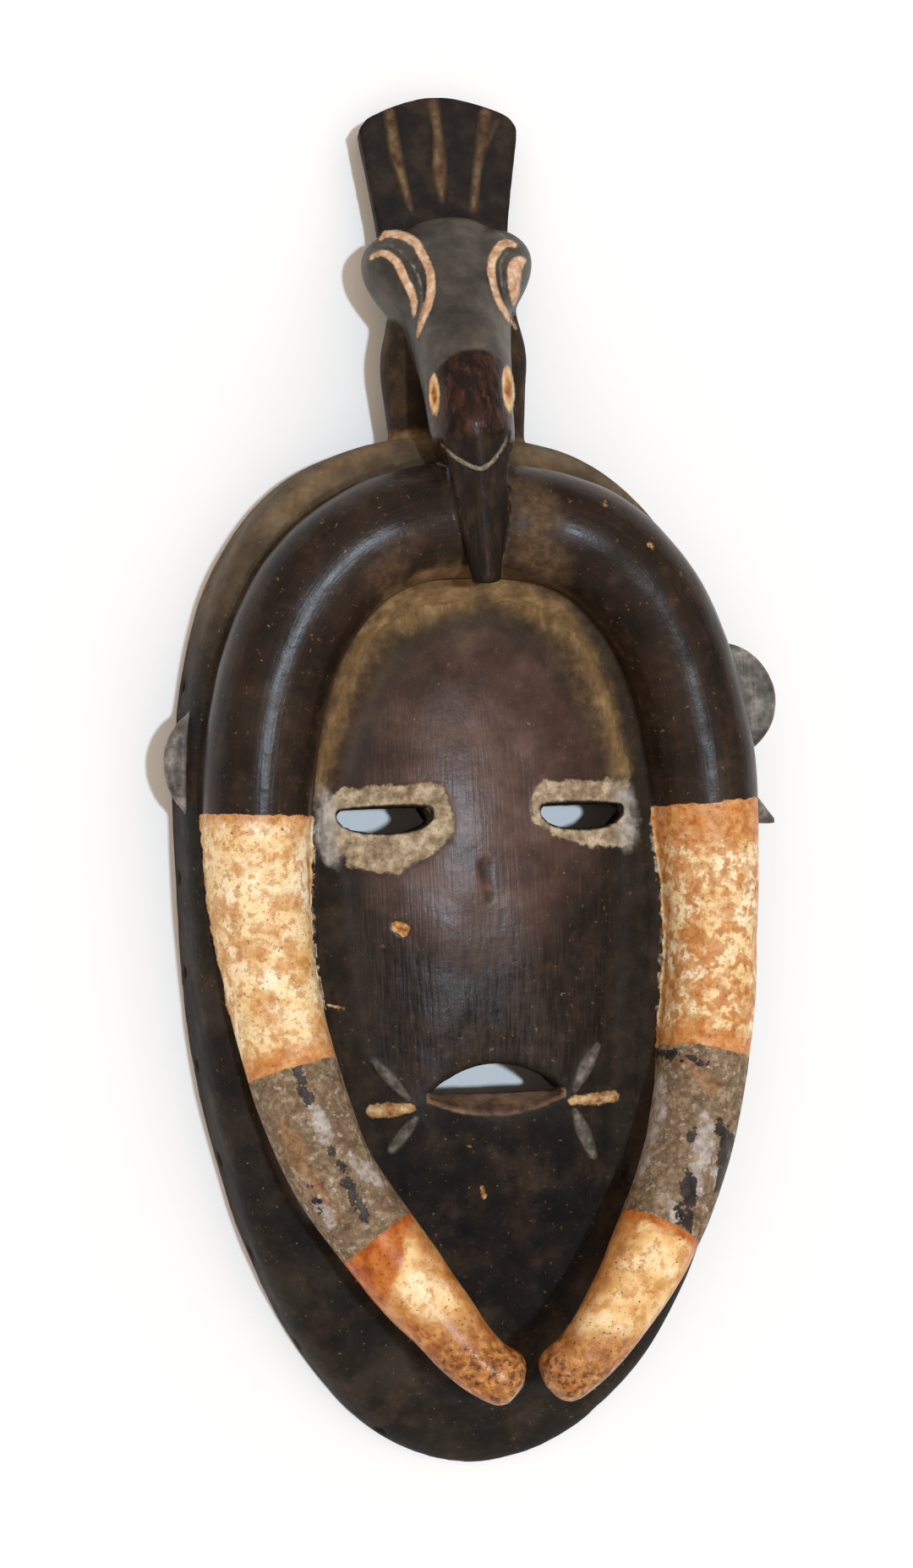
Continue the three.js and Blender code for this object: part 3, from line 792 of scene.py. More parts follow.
def fine_cuts(places, normals):
    spots = seen_from_front(places)
    height = places[:, 2]
    bird = height > crest_front
    flat = (height > face_between[0]) & (height < face_between[1])
    # Each cut: its height in millimetres, below zero for a groove, its field, how far its edge slopes
    # outside and inside the line, and where it may lie.
    work = [
        (-1.2, strokes(spots, flutes), 0.9, 1.6, bird),
        (-0.5, stroke(spots, nape), 0.8, 0.6, bird),
        (0.45, strokes(spots, eye_rims), 0.7, 0.6, 1),
        (0.4, strokes(spots, eyeball_rims), 0.7, 0.6, 1),
        (-1, strokes(spots, eye_grooves), 0.8, 0.6, 1),
        (-0.9, ellipses(spots, nostrils), 0.4, 1, 1),
        (-0.8, stroke(spots, lip_line), 0.6, 0.6, height > beak_above),
        (0.4, patches(spots, surrounds), 0.6, 0.9, flat),
        (0.9, strokes(spots, leaves), 0.8, 1.4, flat),
        (1.5, strokes(spots, bars), 0.8, 1.8, flat),
        (-0.7, strokes(spots, chips), 0.5, 0.8, 1),
        (-0.35, strokes(spots, dents), 0.5, 0.8, flat),
    ]
    cut = sum(rise * eased(-field, -out, into) * where for rise, field, out, into, where in work)
    return cut * eased(normals @ np.array(facing), *cut_fade)


def waves(places, size, height):
    return np.array([noise.noise(Vector(place) / size) for place in places]) * height


def face_share(places):
    turns = np.linspace(-math.pi, math.pi, 721)
    reach = np.array([oval_reach(face, turn) for turn in turns])
    around = np.arctan2(places[:, 1] - face["middle"], places[:, 0])
    return np.hypot(places[:, 0], places[:, 1] - face["middle"]) / np.interp(around, turns, reach)


# Where the gouge went: the valley inside the horns, the border that it cut round the face, and the
# low border of the chin. Each pair says where its work begins and where it is full.
valley_oval = ((0, -28), 78, 128)
cheek_oval = ((0, -30), 47, 95)
gouge = dict(sunk=(-0.3, 0.6), face_in=(0.7, 0.88), face_out=(1.06, 1.01), off_lime=(-2, 4),
             below_beak=(62, 52), above_mouth=(-105, -70), beside_beak=(16, 30), under_beak=(90, 60),
             chin_in=(0.8, 0.93), chin_out=(1.12, 1.03), chin_down=(120, 160))
gouge_limits = dict(beak_x=8, beak_end=72, low=34, chin_top=48, steepest=0.15, blur=12)


def gouged(mesh, places, normals, deep):
    y, z = places.T[1:]
    seen = seen_from_front(places)
    share = face_share(places)
    sunk = eased(np.einsum("ij,ij->i", deep - places, normals), *gouge["sunk"])
    valley = (ellipse(places[:, :2], *valley_oval) < 0) & (ellipse(places[:, :2], *cheek_oval) > 0)
    face_border = eased(share, *gouge["face_in"]) * eased(share, *gouge["face_out"])
    weight = np.maximum(sunk * valley, face_border) * (z > gouge_limits["low"])
    weight *= eased(patches(seen, surrounds), *gouge["off_lime"])
    weight *= eased(z, *gouge["below_beak"]) * eased(seen[:, 1], *gouge["above_mouth"])
    beside_beak = eased(np.abs(seen[:, 0] - gouge_limits["beak_x"]), *gouge["beside_beak"])
    under_beak = eased(y, *gouge["under_beak"]) * (seen[:, 1] < gouge_limits["beak_end"])
    weight *= np.minimum(1, beside_beak + under_beak)
    chin_border = eased(share, *gouge["chin_in"]) * eased(share, *gouge["chin_out"])
    chin_border *= eased(-y, *gouge["chin_down"]) * (z < gouge_limits["chin_top"])
    weight = np.maximum(weight, chin_border) * (normals[:, 2] > gouge_limits["steepest"])
    return rubbed(mesh, np.repeat(weight[:, None], 3, axis=1), gouge_limits["blur"], 0.5)[:, :1]


blocks = [shell, face_form] + horns + sides + bird
wood_mesh = carved(blocks, cuts)
places = places_of(wood_mesh)
deep = rubbed(wood_mesh, places, valley_rubbing, 0.5)
places += gouged(wood_mesh, places, normals_of(wood_mesh), deep) * (deep - places)
move_to(wood_mesh, places)
normals = normals_of(wood_mesh)
height = fine_cuts(places, normals)
for size, most in knife_waves:
    height += waves(places, size, most)
places += normals * height[:, None]
cad_low, cad_high = (np.array(corner) * 1000 + np.array(layout_middle) for corner in cad_box)
move_to(wood_mesh, np.clip(places, cad_low + box_margin, cad_high - box_margin))

mask = bpy.data.objects.new("carved_mask", wood_mesh)
bpy.context.scene.collection.objects.link(mask)
thinned = mask.vertex_groups.new(name="thinned")
hidden = normals[:, 2] < -0.2
for chosen, share in ((~hidden, front_share), (hidden, 1)):
    thinned.add([int(index) for index in np.where(chosen)[0]], share, "REPLACE")
thin = mask.modifiers.new("thin", "DECIMATE")
thin.ratio = min(1, most_faces / (2 * len(wood_mesh.polygons)))
thin.use_collapse_triangulate = True
thin.vertex_group = "thinned"
wood_mesh = bpy.data.meshes.new_from_object(mask.evaluated_get(bpy.context.evaluated_depsgraph_get()))
bpy.data.meshes.remove(mask.data)
mask = bpy.data.objects.new("carved_mask", wood_mesh)
bpy.context.scene.collection.objects.link(mask)
move_to(wood_mesh, np.clip(places_of(wood_mesh), cad_low + box_margin, cad_high - box_margin))
wood_mesh.shade_smooth()


# The finish: dark oiled lacquer over the whole outside, slate grey on the bird's head, cream, grey
# and cream bands of thick paint on the horns, pale lime round the eyes, khaki dust in the valleys
# and bare wood at the back. A coat's field is a distance in millimetres, below zero where it lies.
band_starts = dict(cream=-7.5, grey=-87, tip=-141)
band_lift = 1.1
grey_overlap = 2
# Per side, where the marks on the horns lie; tip_sides is where the tips' flanks get orange stain and
# painted shade.
stains_and_shade = dict(left=dict(cream_top=3, tip_sides=6.5, tip_root=10, tip_end=24, worn=-5),
              right=dict(cream_top=12, tip_sides=9, tip_root=3, tip_end=17, worn=5))
cream_foot = 6
stain_slant = dict(tip_root=0.7, tip_end=0.8)
edge_line = dict(lift=0.2, half_width=0.8, above=1, length=68, outer_side=9)
run_steps = 500
thin_lacquer_and_sheen_oval = ((6, 8), 40, 58)
shell_top = dict(y=52, fade=4)
shaded_chin = dict(y=-100, fade=2)
bare_back = dict(reach=1.5, rim=0.5)
dust_and_shade = dict(rubbing=40, full_depth=0.6, hollow_shade=0.25, dust=1.6, light_dust=1.2)


def nearness(pieces, among):
    gap = np.full(len(places), float(far))
    for piece in pieces:
        tree = BVHTree.FromObject(piece, bpy.context.evaluated_depsgraph_get())
        corners = np.array([corner[:] for corner in piece.bound_box]) * 1000 + np.array(layout_middle)
        close = among & np.all((places > corners.min(0) - far) & (places < corners.max(0) + far), axis=1)
        for index in np.where(close)[0]:
            found = tree.find_nearest(in_metres(places[index]), far / 1000)
            if found[3] is not None:
                gap[index] = min(gap[index], found[3] * 1000)
    return gap


def horn_run(side):
    stops = np.array([leaned(horn_middle(step / run_steps, side))[:] for step in range(run_steps + 1)])
    lengths = np.concatenate([[0], np.cumsum(np.linalg.norm(np.diff(stops, axis=0), axis=1))])
    onward = np.gradient(stops, axis=0)
    return stops, lengths, onward / np.linalg.norm(onward, axis=1)[:, None]


def on_horn(side):
    stops, lengths, onward = horn_run(side)
    nearest = np.empty(len(places), dtype=int)
    at_once, coarse = 4000, 5
    for start in range(0, len(places), at_once):
        offsets = places[start:start + at_once, None, :] - stops[None, ::coarse, :]
        nearest[start:start + at_once] = coarse * np.argmin((offsets ** 2).sum(2), axis=1)
    offsets = places - stops[nearest]
    past = np.einsum("ij,ij->i", offsets, onward[nearest])
    radius = np.array([horn_thickness(stop[1]) for stop in stops])[nearest]
    away = np.linalg.norm(offsets - past[:, None] * onward[nearest], axis=1)
    inward = np.einsum("ij,ij->i", offsets, np.cross(onward[nearest], (0, 0, 1)))
    return away - radius, lengths[nearest] + past, inward


def length_to(y):
    lengths = horn_run(1)[1]
    steps = np.arange(run_steps + 1)
    unleaned = np.array([horn_middle(step / run_steps, 1).y for step in steps])
    on_brow = steps < run_steps / 5
    return float(lengths[np.argmin(np.abs(unleaned - y) + outside * on_brow)])


def by_side(name):
    return np.where(left, stains_and_shade["left"][name], stains_and_shade["right"][name])


places = places_of(wood_mesh)
normals = normals_of(wood_mesh)
seen = seen_from_front(places)
# A field is pushed this far above zero where its coat can't lie.
elsewhere = 30
unseen = elsewhere * (1 - eased(normals @ np.array(facing), -0.1, 0.15))
everywhere = np.ones(len(places), dtype=bool)
x, y, z = places.T
seen_x, seen_y = seen.T
crown = y > 50
left = x < 0
fields = {}

horn_gap, along, inward = (np.where(left, *pair) for pair in zip(on_horn(-1), on_horn(1)))
starts = {name: length_to(y) for name, y in band_starts.items()}
horn_end = horn_run(1)[1][-1]
painted = horn_gap - band_lift
fields["cream"] = np.maximum.reduce([painted, starts["cream"] - along, along - starts["grey"]])
fields["grey"] = np.maximum.reduce([painted, starts["grey"] - grey_overlap - along, along - starts["tip"]])
fields["tip"] = np.maximum(painted, starts["tip"] - along)
outward = np.where(left, inward, -inward)
fields["cream_ends"] = np.minimum(along - starts["cream"] - by_side("cream_top"),
                                  starts["grey"] - cream_foot - along)
fields["worn_paint"] = -by_side("worn")
fields["paint_edges"] = np.maximum.reduce([
    2 * np.abs(painted - edge_line["lift"]) - 2 * edge_line["half_width"],
    starts["cream"] + edge_line["above"] - along,
    along - starts["cream"] - edge_line["length"],
    edge_line["outer_side"] * (outward > 0),
])
# The tips' flanks: orange stain, and painted shade where the round tip turns away from the lamp.
fields["tip_sides"] = by_side("tip_sides") - np.abs(inward)
root_slant = stain_slant["tip_root"] * outward * left
fields["tip_root"] = along - starts["tip"] - (by_side("tip_root") + root_slant)
fields["tip_end"] = horn_end - by_side("tip_end") - along - stain_slant["tip_end"] * outward

gaps = {
    "shell": nearness([shell], everywhere),
    "horns": nearness(horns, everywhere),
    "face": nearness([face_form], everywhere),
    "ears": nearness(sides, np.abs(x) > 60),
    "head": nearness(bird[1:4], crown),
    "beak": nearness([bird[4]], crown),
    "crest": nearness([bird[0]], crown),
    "neck": nearness([bird[5]], crown),
}


def belongs(*names):
    own = np.min([gaps[name] for name in names], axis=0)
    return own - np.min([gap for name, gap in gaps.items() if name not in names], axis=0)


head = belongs("head", "beak")
muzzle = dict(x=5.5, y=138.3, half_width=11, arch=5.5)
arch = seen_y - (muzzle["y"] - muzzle["arch"] * ((seen_x - muzzle["x"]) / muzzle["half_width"]) ** 2)
clear = elsewhere * (head < 1)
for piece in ("shell", "crest", "neck", "ears", "beak"):
    fields[piece] = belongs(piece)
fields["rolls"] = belongs("horns")
fields["shell_top"] = np.maximum(fields["shell"], (shell_top["y"] - y) / shell_top["fade"])
# The middle of the face: thin warm lacquer, lighter there partly as painted sheen on the ridge.
fields["brow"] = np.maximum(belongs("face"), ellipse(seen, *thin_lacquer_and_sheen_oval))
# Painted shade: below the mouth the face is coloured near black, for the shade cast by the horns and the
# shade on the sloping chin.
fields["chin"] = np.maximum(belongs("face"), (y - shaded_chin["y"]) / shaded_chin["fade"])
fields["slate"] = np.maximum(head, -arch)
fields["muzzle"] = np.maximum(head, arch)
# The inside: bare wood, its brown darkened partly as painted shade in the hollow.
fields["inside"] = np.minimum(nearness([cuts[0]], normals[:, 2] < 0.5) - bare_back["reach"],
                              2 * (np.maximum(0, z) - bare_back["rim"]))
fields["lip_shelf"] = nearness([cuts[1]], normals[:, 2] > -0.5)
# The walls of the eye and mouth slots, coloured near black as painted shade.
fields["slots"] = nearness(cuts[2:5], everywhere)
fields["rims"] = np.minimum(strokes(seen, eye_rims), strokes(seen, eyeball_rims)) + unseen
fields["rim_grooves"] = strokes(seen, eye_grooves) + unseen
fields["nostrils"] = ellipses(seen, nostrils) + unseen
fields["lip"] = stroke(seen, lip_line) + unseen + elsewhere * (z < beak_above)
fields["flutes"] = np.maximum(strokes(seen, flutes) + unseen, fields["crest"] - 2)
off_face = unseen + elsewhere * ((z < face_between[0]) | (z > face_between[1]))
fields["surrounds"] = patches(seen, surrounds) + off_face
smears = [[(-41.7, -3.7, 2.2), (-41.5, -12, 3.4), (-40, -22.5, 3)], [(53.5, -3.4, 2.5), (54, -17.5, 3)]]
fields["smears"] = strokes(seen, smears) + off_face
fields["leaves"] = strokes(seen, leaves) + off_face
fields["bars"] = strokes(seen, bars) + off_face
fields["chips"] = strokes(seen, chips) + unseen
fields["dents"] = strokes(seen, dents) + off_face
flakes = [
    [(-50.8, -90.5, 0.8), (-49, -95.5, 1.7), (-46.8, -101.5, 1.2)],
    [(-39.8, -116, 0.4), (-36.5, -121.5, 0.8), (-34, -128, 1.7), (-30, -138, 1.8)],
    [(-46.8, -129, 0.5), (-43.4, -136.5, 0.9)],
    [(83.5, -107, 1.2), (86, -114, 2.6), (85.4, -123, 2.6), (84, -130, 1.2)],
    [(74.2, -124, 1.4), (73.8, -132, 2.6), (72.4, -140, 2.4), (71.2, -146, 1)],
    [(75.6, -109.8, 1.2), (74.4, -114.4, 0.8)],
    [(62.5, -85.5, 0.6), (70, -86.4, 1.1), (80, -88.6, 0.4)],
]
washes = [
    [(-47, -101, 1), (-44, -107, 2.2), (-41.5, -114, 1.2)],
    [(-33.5, -119, 1), (-29.5, -122.5, 2.4), (-24.8, -128, 1.2)],
    [(-44, -133, 1), (-40, -139, 1.8)],
    [(63, -93, 2.6), (62.6, -104, 3.6), (59.5, -114, 3.6), (57, -124, 2.4)],
    [(79, -106.5, 1.6), (79, -114, 3.2), (77.4, -121, 2), (76.2, -129, 1.6)],
    [(82.6, -122.8, 0.9), (83.8, -127, 0.9)],
    [(67.2, -131.5, 1), (70.2, -138, 1.5)],
]
rust = [
    [(-55.5, -108, 1.6), (-50.5, -118, 3), (-44, -130, 2.4), (-38, -139, 1.2)],
    [(72, -88, 1), (82, -97, 2.4)],
]
for name, lines in (("flakes", flakes), ("washes", washes), ("rust", rust)):
    fields[name] = np.maximum(strokes(seen, lines), fields["grey"] + 0.5)

# Dust gathers where the surface lies lower than its surroundings, and there a dark matt coat is also laid as
# painted shade.
deep = rubbed(wood_mesh, places, dust_and_shade["rubbing"], 0.5)
sunk = np.clip(np.einsum("ij,ij->i", deep - places, normals) / dust_and_shade["full_depth"], -1, 1)
# Painted shade: a dark matt coat in the hollows, where the valleys lie in shade.
fields["hollow_shade"] = np.maximum(dust_and_shade["hollow_shade"] - sunk, elsewhere * (z < face_between[0])) + clear
dust_lines = [
    [(3, 66, 1.8), (-8, 66.5, 2.4), (-18, 60.5, 2.4), (-27, 49, 1.6), (-33.5, 36, 0.9), (-38.5, 20, 0.4),
     (-42.5, 6, 0.2), (-44, -2, 0.2)],
    [(-18, 52, 2.4), (-10, 56.5, 3.6), (2, 60, 3.2)],
    [(12, 74, 0.6), (13, 62, 2), (22, 58.5, 2.4), (31, 50, 1.2)],
    [(31.5, 57, 0.7), (38, 47, 0.8), (44, 34, 0.8), (49, 18, 0.5), (52, 4, 0.3)],
    [(-22.9, 110.5, 1.4), (-2.7, 107.5, 1.6)],
    [(20, 107, 1), (30, 101, 1.6)],
    [(-56.5, 85.5, 1.4), (-42, 98.5, 2.2), (-24.2, 107, 1.8)],
]
fields["dust"] = strokes(seen, dust_lines) + unseen - dust_and_shade["dust"] * sunk + clear
haze_lines = [
    [(6, 62, 6), (-6, 61, 6), (-20, 52, 5), (-30, 38, 3.4), (-38, 18, 2), (-43, 0, 1)],
    [(14, 64, 6), (27, 57, 6), (37, 42, 4), (45, 24, 3), (50, 6, 1.6)],
    [(20, 96, 3), (26, 88, 6), (26, 76, 8), (28, 66, 6)],
    [(-14, 78, 2), (-24, 66, 4)],
]
fields["light_dust"] = strokes(seen, haze_lines) + unseen - dust_and_shade["light_dust"] * sunk + clear
for name, values in fields.items():
    layer = wood_mesh.attributes.new(name, "FLOAT", "POINT")
    layer.data.foreach_set("value", np.clip(values, -40, 40).astype(np.float32))
rolled = (fields["rolls"] < 1)[:, None]
run = np.where(rolled, np.stack([along, inward, 0 * z], 1), places[:, [1, 0, 2]])
layer = wood_mesh.attributes.new("run", "FLOAT_VECTOR", "POINT")
layer.data.foreach_set("vector", run.astype(np.float32).ravel())
for piece in blocks + cuts:
    bpy.data.meshes.remove(piece.data)


def colour(code):
    parts = [int(code[place:place + 2], 16) / 255 for place in (1, 3, 5)]
    return [part / 12.92 if part <= 0.04045 else ((part + 0.055) / 1.055) ** 2.4 for part in parts] + [1]


def add(tree, kind, wires, **settings):
    node = tree.nodes.new("ShaderNode" + kind)
    for name, value in settings.items():
        setattr(node, name, value)
    for place, value in wires.items():
        if isinstance(value, bpy.types.NodeSocket):
            tree.links.new(value, node.inputs[place])
        else:
            node.inputs[place].default_value = value
    return node


# Lacquered wood: it looks near black and satin, and warm brown where it is thin, with fine tool
# lines that run along each form and break up the shine. On the middle of the face that warm brown
# is also painted sheen. Paint and lime lie on it as thick coats
# with ragged edges. The coats follow in the order in which they were laid. What each entry says:
# field: where the coat lies. within: the coat that it stays inside. edge, soft: where its edge lies
# and how soft that edge is. ragged, lump: how far and how finely the edge wanders. spots: the size,
# limit and softness of the spots that it breaks into, and detail how crumbled they are. run: how the
# pattern is drawn out along the form. most: its fullest cover. colours, mottle: its dark, middle and
# light colour, and the size of the clouds they make. rough: its roughness. stands: how high it
# stands. Lengths are millimetres.

# On the plain wood: thin warm lacquer that is partly painted sheen, painted shade on the chin, worn and
# stained patches, and painted shade in the hollows.
wood_coats = [
    # Thin warm lacquer and painted sheen on the middle of the face.
    dict(field="brow", ragged=6, lump=12, soft=12,
         colours=("#3c2a22", "#4f3931", "#644c42"), mottle=14, rough=0.3),
    # Painted shade: near black and matt below the mouth.
    dict(field="chin", ragged=6, lump=14, soft=8,
         colours=("#080604", "#110d0a", "#201811"), mottle=9, rough=0.85),
    dict(field="rolls", ragged=1, lump=5, soft=1, most=0.6,
         colours=("#140e0a", "#1f1712", "#32261e"), mottle=16, rough=0.28),
    dict(field="rolls", soft=1, spots=(6, 0.54, 0.12), run=(0.2, 1, 1), most=0.5,
         colours=("#1f130d", "#2f1d15", "#3f2a1f"), mottle=9, rough=0.3),
    dict(field="shell", soft=1,
         colours=("#0f0c08", "#1d1813", "#312a22"), mottle=22, rough=0.78),
    dict(field="shell_top", ragged=3, lump=9, soft=5,
         colours=("#463a2b", "#5b4c3a", "#74644f"), mottle=15, rough=0.8),
    dict(spots=(13, 0.57, 0.12), most=0.28,
         colours=("#33241a", "#4a3627", "#604a36"), mottle=3.2, rough=0.5),
    dict(spots=(1.8, 0.665, 0.03), most=0.75,
         colours=("#4e3823", "#73583a", "#9a7d59"), mottle=3.2, rough=0.8),
    # Painted shade: dark brown and matt in the hollows.
    dict(field="hollow_shade", soft=0.35,
         colours=("#15100b", "#261d14", "#3d3022"), mottle=8, rough=0.9),
]
# On the crest, the neck, the ears and the bird.
bird_coats = [
    dict(field="crest", soft=0.6,
         colours=("#15100c", "#201914", "#33281f"), mottle=9, rough=0.75),
    dict(field="neck", ragged=1, lump=5, soft=1,
         colours=("#18110a", "#2a1e12", "#483420"), mottle=9, rough=0.7),
    dict(field="ears", soft=0.6,
         colours=("#38332e", "#625b53", "#978e84"), mottle=7, rough=0.42),
    dict(field="slate", soft=0.8,
         colours=("#302c28", "#45403a", "#5b544b"), mottle=13, rough=0.42),
    dict(field="muzzle", ragged=1.2, lump=4, soft=1, run=(0.4, 1, 1),
         colours=("#0f0906", "#20120c", "#3c2418"), mottle=4, rough=0.25),
    dict(field="muzzle", soft=1, spots=(2.4, 0.55, 0.05), run=(0.5, 1, 1), most=0.5,
         colours=("#2b1710", "#4a2a1c", "#6b4230"), mottle=4, rough=0.27, stands=0.12),
    dict(field="beak", ragged=0.6, lump=4, soft=0.8, run=(0.4, 1, 1),
         colours=("#100b07", "#1d140d", "#39281d"), mottle=5, rough=0.55),
    dict(field="flutes", edge=-0.2, ragged=1, lump=5, soft=1.1,
         colours=("#3a2a1e", "#5c4632", "#80694e"), mottle=5, rough=0.85),
]
# Dust in the valleys.
dust_coats = [
    dict(field="light_dust", ragged=6, lump=9, soft=6, most=0.6,
         colours=("#4a3926", "#634c34", "#7d6345"), mottle=3, rough=0.95),
    dict(field="dust", ragged=4, lump=5, soft=3.4, run=(0.4, 1, 1), most=0.9,
         colours=("#604828", "#7d6140", "#9c7f58"), mottle=4, rough=0.95, stands=0.02),
]
# On the horns: the grey band, the cream band and the tips, with their stains, losses and pits, and painted
# shade on the tips' flanks.
horn_coats = [
    dict(field="grey", ragged=0.8, lump=5, soft=0.2,
         colours=("#5c4a37", "#7f6a52", "#a18c73"), mottle=4, rough=0.8, stands=0.14),
    dict(within="grey", spots=(1.7, 0.53, 0.05), detail=3, most=0.55,
         colours=("#43352a", "#5a4837", "#6f5b45"), mottle=3, rough=0.8, stands=-0.05),
    dict(within="grey", spots=(2.4, 0.6, 0.04), detail=4, most=0.6,
         colours=("#9a8c7c", "#b5a998", "#c9bfb2"), mottle=3, rough=0.8, stands=0.06),
    dict(field="rust", within="grey", ragged=3, lump=4, soft=1.2, most=0.8,
         colours=("#5a3b24", "#8d6542", "#a98762"), mottle=3, rough=0.8),
    dict(field="washes", within="grey", ragged=6, lump=4, soft=0.9, most=0.9,
         colours=("#8b8077", "#aba098", "#c6bdb6"), mottle=3, rough=0.8, stands=0.05),
    dict(field="flakes", within="grey", ragged=4.5, lump=3.5, soft=0.15,
         colours=("#1a1512", "#332b28", "#4a413d"), mottle=4, rough=0.5, stands=-0.2),
    dict(field="cream", ragged=1.6, lump=6, soft=0.2,
         colours=("#e4b87a", "#f3d9a8", "#fbebcb"), mottle=12, rough=0.45, stands=0.25),
    dict(within="cream", spots=(8, 0.54, 0.08), detail=4, most=0.75,
         colours=("#ac682f", "#c78a48", "#dba96d"), mottle=3, rough=0.45),
    dict(within="cream", spots=(2.6, 0.57, 0.05), detail=3, most=0.6,
         colours=("#96561f", "#b37435", "#cb9252"), mottle=2, rough=0.45),
    dict(field="worn_paint", within="cream", soft=1, spots=(4.5, 0.52, 0.05), detail=2, most=0.8,
         colours=("#a35d26", "#bd7636", "#cf8f4e"), mottle=3, rough=0.4, stands=0.1),
    dict(within="cream", spots=(1.6, 0.56, 0.07), most=0.3,
         colours=("#96622e", "#b5804a", "#c79a62"), mottle=2, rough=0.5, stands=-0.05),
    dict(field="cream_ends", within="cream", ragged=6, lump=5, soft=3, most=0.8,
         colours=("#a45a22", "#c47c3d", "#d59a5a"), mottle=3, rough=0.45),
    dict(field="tip", ragged=0.8, lump=5, soft=0.2,
         colours=("#dba968", "#edc88f", "#f6dfb3"), mottle=9, rough=0.33, stands=0.25),
    dict(within="tip", spots=(5, 0.53, 0.06), detail=4, most=0.7,
         colours=("#a9672c", "#c28546", "#d6a264"), mottle=2.6, rough=0.33),
    # Orange stain and painted shade on the tips' flanks.
    dict(field="tip_sides", within="tip", ragged=4, lump=6, soft=2, most=0.85,
         colours=("#9a5a25", "#b97638", "#cf955a"), mottle=4, rough=0.3),
    dict(field="tip_root", within="tip", ragged=4, lump=6, soft=1.6,
         colours=("#96481a", "#b7672c", "#ca8244"), mottle=5, rough=0.28),
    dict(field="tip_end", within="tip", ragged=9, lump=5, soft=5, most=0.85,
         colours=("#773c14", "#a25e26", "#cb9152"), mottle=3, rough=0.28),
    dict(field="tip_end", within="tip", edge=-11, ragged=5, lump=4, soft=7, spots=(2, 0.54, 0.05), most=0.85,
         colours=("#3b1c09", "#5f3512", "#8a5724"), mottle=3, rough=0.35, stands=-0.1),
    dict(within="cream", spots=(1.1, 0.66, 0.02), most=0.9,
         colours=("#4c371f", "#6a4a28", "#7d5a33"), mottle=3, rough=0.6, stands=-0.12),
    dict(within="tip", spots=(1.1, 0.65, 0.02), most=0.9,
         colours=("#3c2815", "#553719", "#7d5a33"), mottle=3, rough=0.6, stands=-0.12),
    dict(field="paint_edges", ragged=0.8, lump=3, soft=0.3, spots=(4, 0.49, 0.03), most=0.9,
         colours=("#a3967f", "#c9bca5", "#e6dccb"), mottle=2.5, rough=0.85, stands=0.1),
]
# On the face: the lime round the eyes and the marks beside the mouth.
face_coats = [
    dict(field="surrounds", ragged=3, lump=5, soft=0.5,
         colours=("#6f5d47", "#98856c", "#c4b296"), mottle=4, rough=0.9, stands=0.12),
    dict(within="surrounds", spots=(2.2, 0.59, 0.04), detail=4, most=0.5,
         colours=("#5b4a38", "#6e5b46", "#806b54"), mottle=3, rough=0.9, stands=-0.05),
    dict(field="smears", ragged=4, lump=4.5, soft=2.2, most=0.7,
         colours=("#77716b", "#9d978f", "#bfb9b1"), mottle=3, rough=0.9),
    dict(field="leaves", edge=0.2, ragged=0.9, lump=3, soft=0.6,
         colours=("#3b352e", "#5b544b", "#7d766c"), mottle=3, rough=0.8, stands=0.05),
    dict(field="bars", edge=0.1, ragged=1.2, lump=2, soft=0.4,
         colours=("#7d4c26", "#b18a5c", "#d3b88c"), mottle=3, rough=0.6, stands=0.05),
]
# In the small cuts, and inside. The near-black slot walls are painted shade, and the inside's dark bare wood
# is partly painted shade.
detail_coats = [
    dict(field="rims", edge=0.1, ragged=0.6, lump=2, soft=0.4,
         colours=("#a87c5a", "#cba381", "#e4cbb0"), mottle=3, rough=0.7, stands=0.05),
    dict(field="rim_grooves", edge=-0.35, ragged=0.4, lump=2, soft=0.3,
         colours=("#3d3630", "#6d655c", "#978f85"), mottle=2, rough=0.8),
    dict(field="nostrils", edge=0.1, ragged=0.4, lump=2, soft=0.3,
         colours=("#c48f50", "#deb67c", "#ecd2a2"), mottle=3, rough=0.5, stands=0.05),
    dict(field="nostrils", edge=-0.7, ragged=0.5, lump=2, soft=0.4,
         colours=("#6a350f", "#a8631f", "#cc8a44"), mottle=3, rough=0.5),
    dict(field="lip", edge=0.05, ragged=0.8, lump=2, soft=0.3,
         colours=("#5b4f40", "#857965", "#a69a86"), mottle=2, rough=0.85),
    # Painted shade: the slot walls near black.
    dict(field="slots", edge=0.6, ragged=0.4, lump=2, soft=0.4,
         colours=("#0d0906", "#1a120c", "#2c1f15"), mottle=6, rough=0.8),
    dict(field="lip_shelf", edge=0.9, ragged=0.4, lump=2, soft=0.4,
         colours=("#46342a", "#66503f", "#83694f"), mottle=6, rough=0.7),
    dict(field="chips", edge=0.2, ragged=1, lump=1.5, soft=0.3,
         colours=("#744421", "#a9773f", "#d9b98a"), mottle=2, rough=0.85),
    dict(field="dents", edge=0.1, ragged=1.2, lump=2.5, soft=0.6, most=0.8,
         colours=("#1c120c", "#3a2419", "#5b3c28"), mottle=4, rough=0.4),
    # Bare wood inside, its dark brown partly painted shade.
    dict(field="inside", soft=0.8, run=(0.15, 1, 1),
         colours=("#2b2017", "#403022", "#58432f"), mottle=5, rough=0.8),
]
coats = wood_coats + bird_coats + dust_coats + horn_coats + face_coats + detail_coats
lacquer = bpy.data.materials.new("lacquered_wood")
lacquer.use_nodes = True
tree = lacquer.node_tree
tree.nodes.clear()
coordinates = add(tree, "TexCoord", {}).outputs["Object"]
in_millimetres = add(tree, "Mapping", {"Vector": coordinates, "Scale": (1000, 1000, 1000)}).outputs[0]
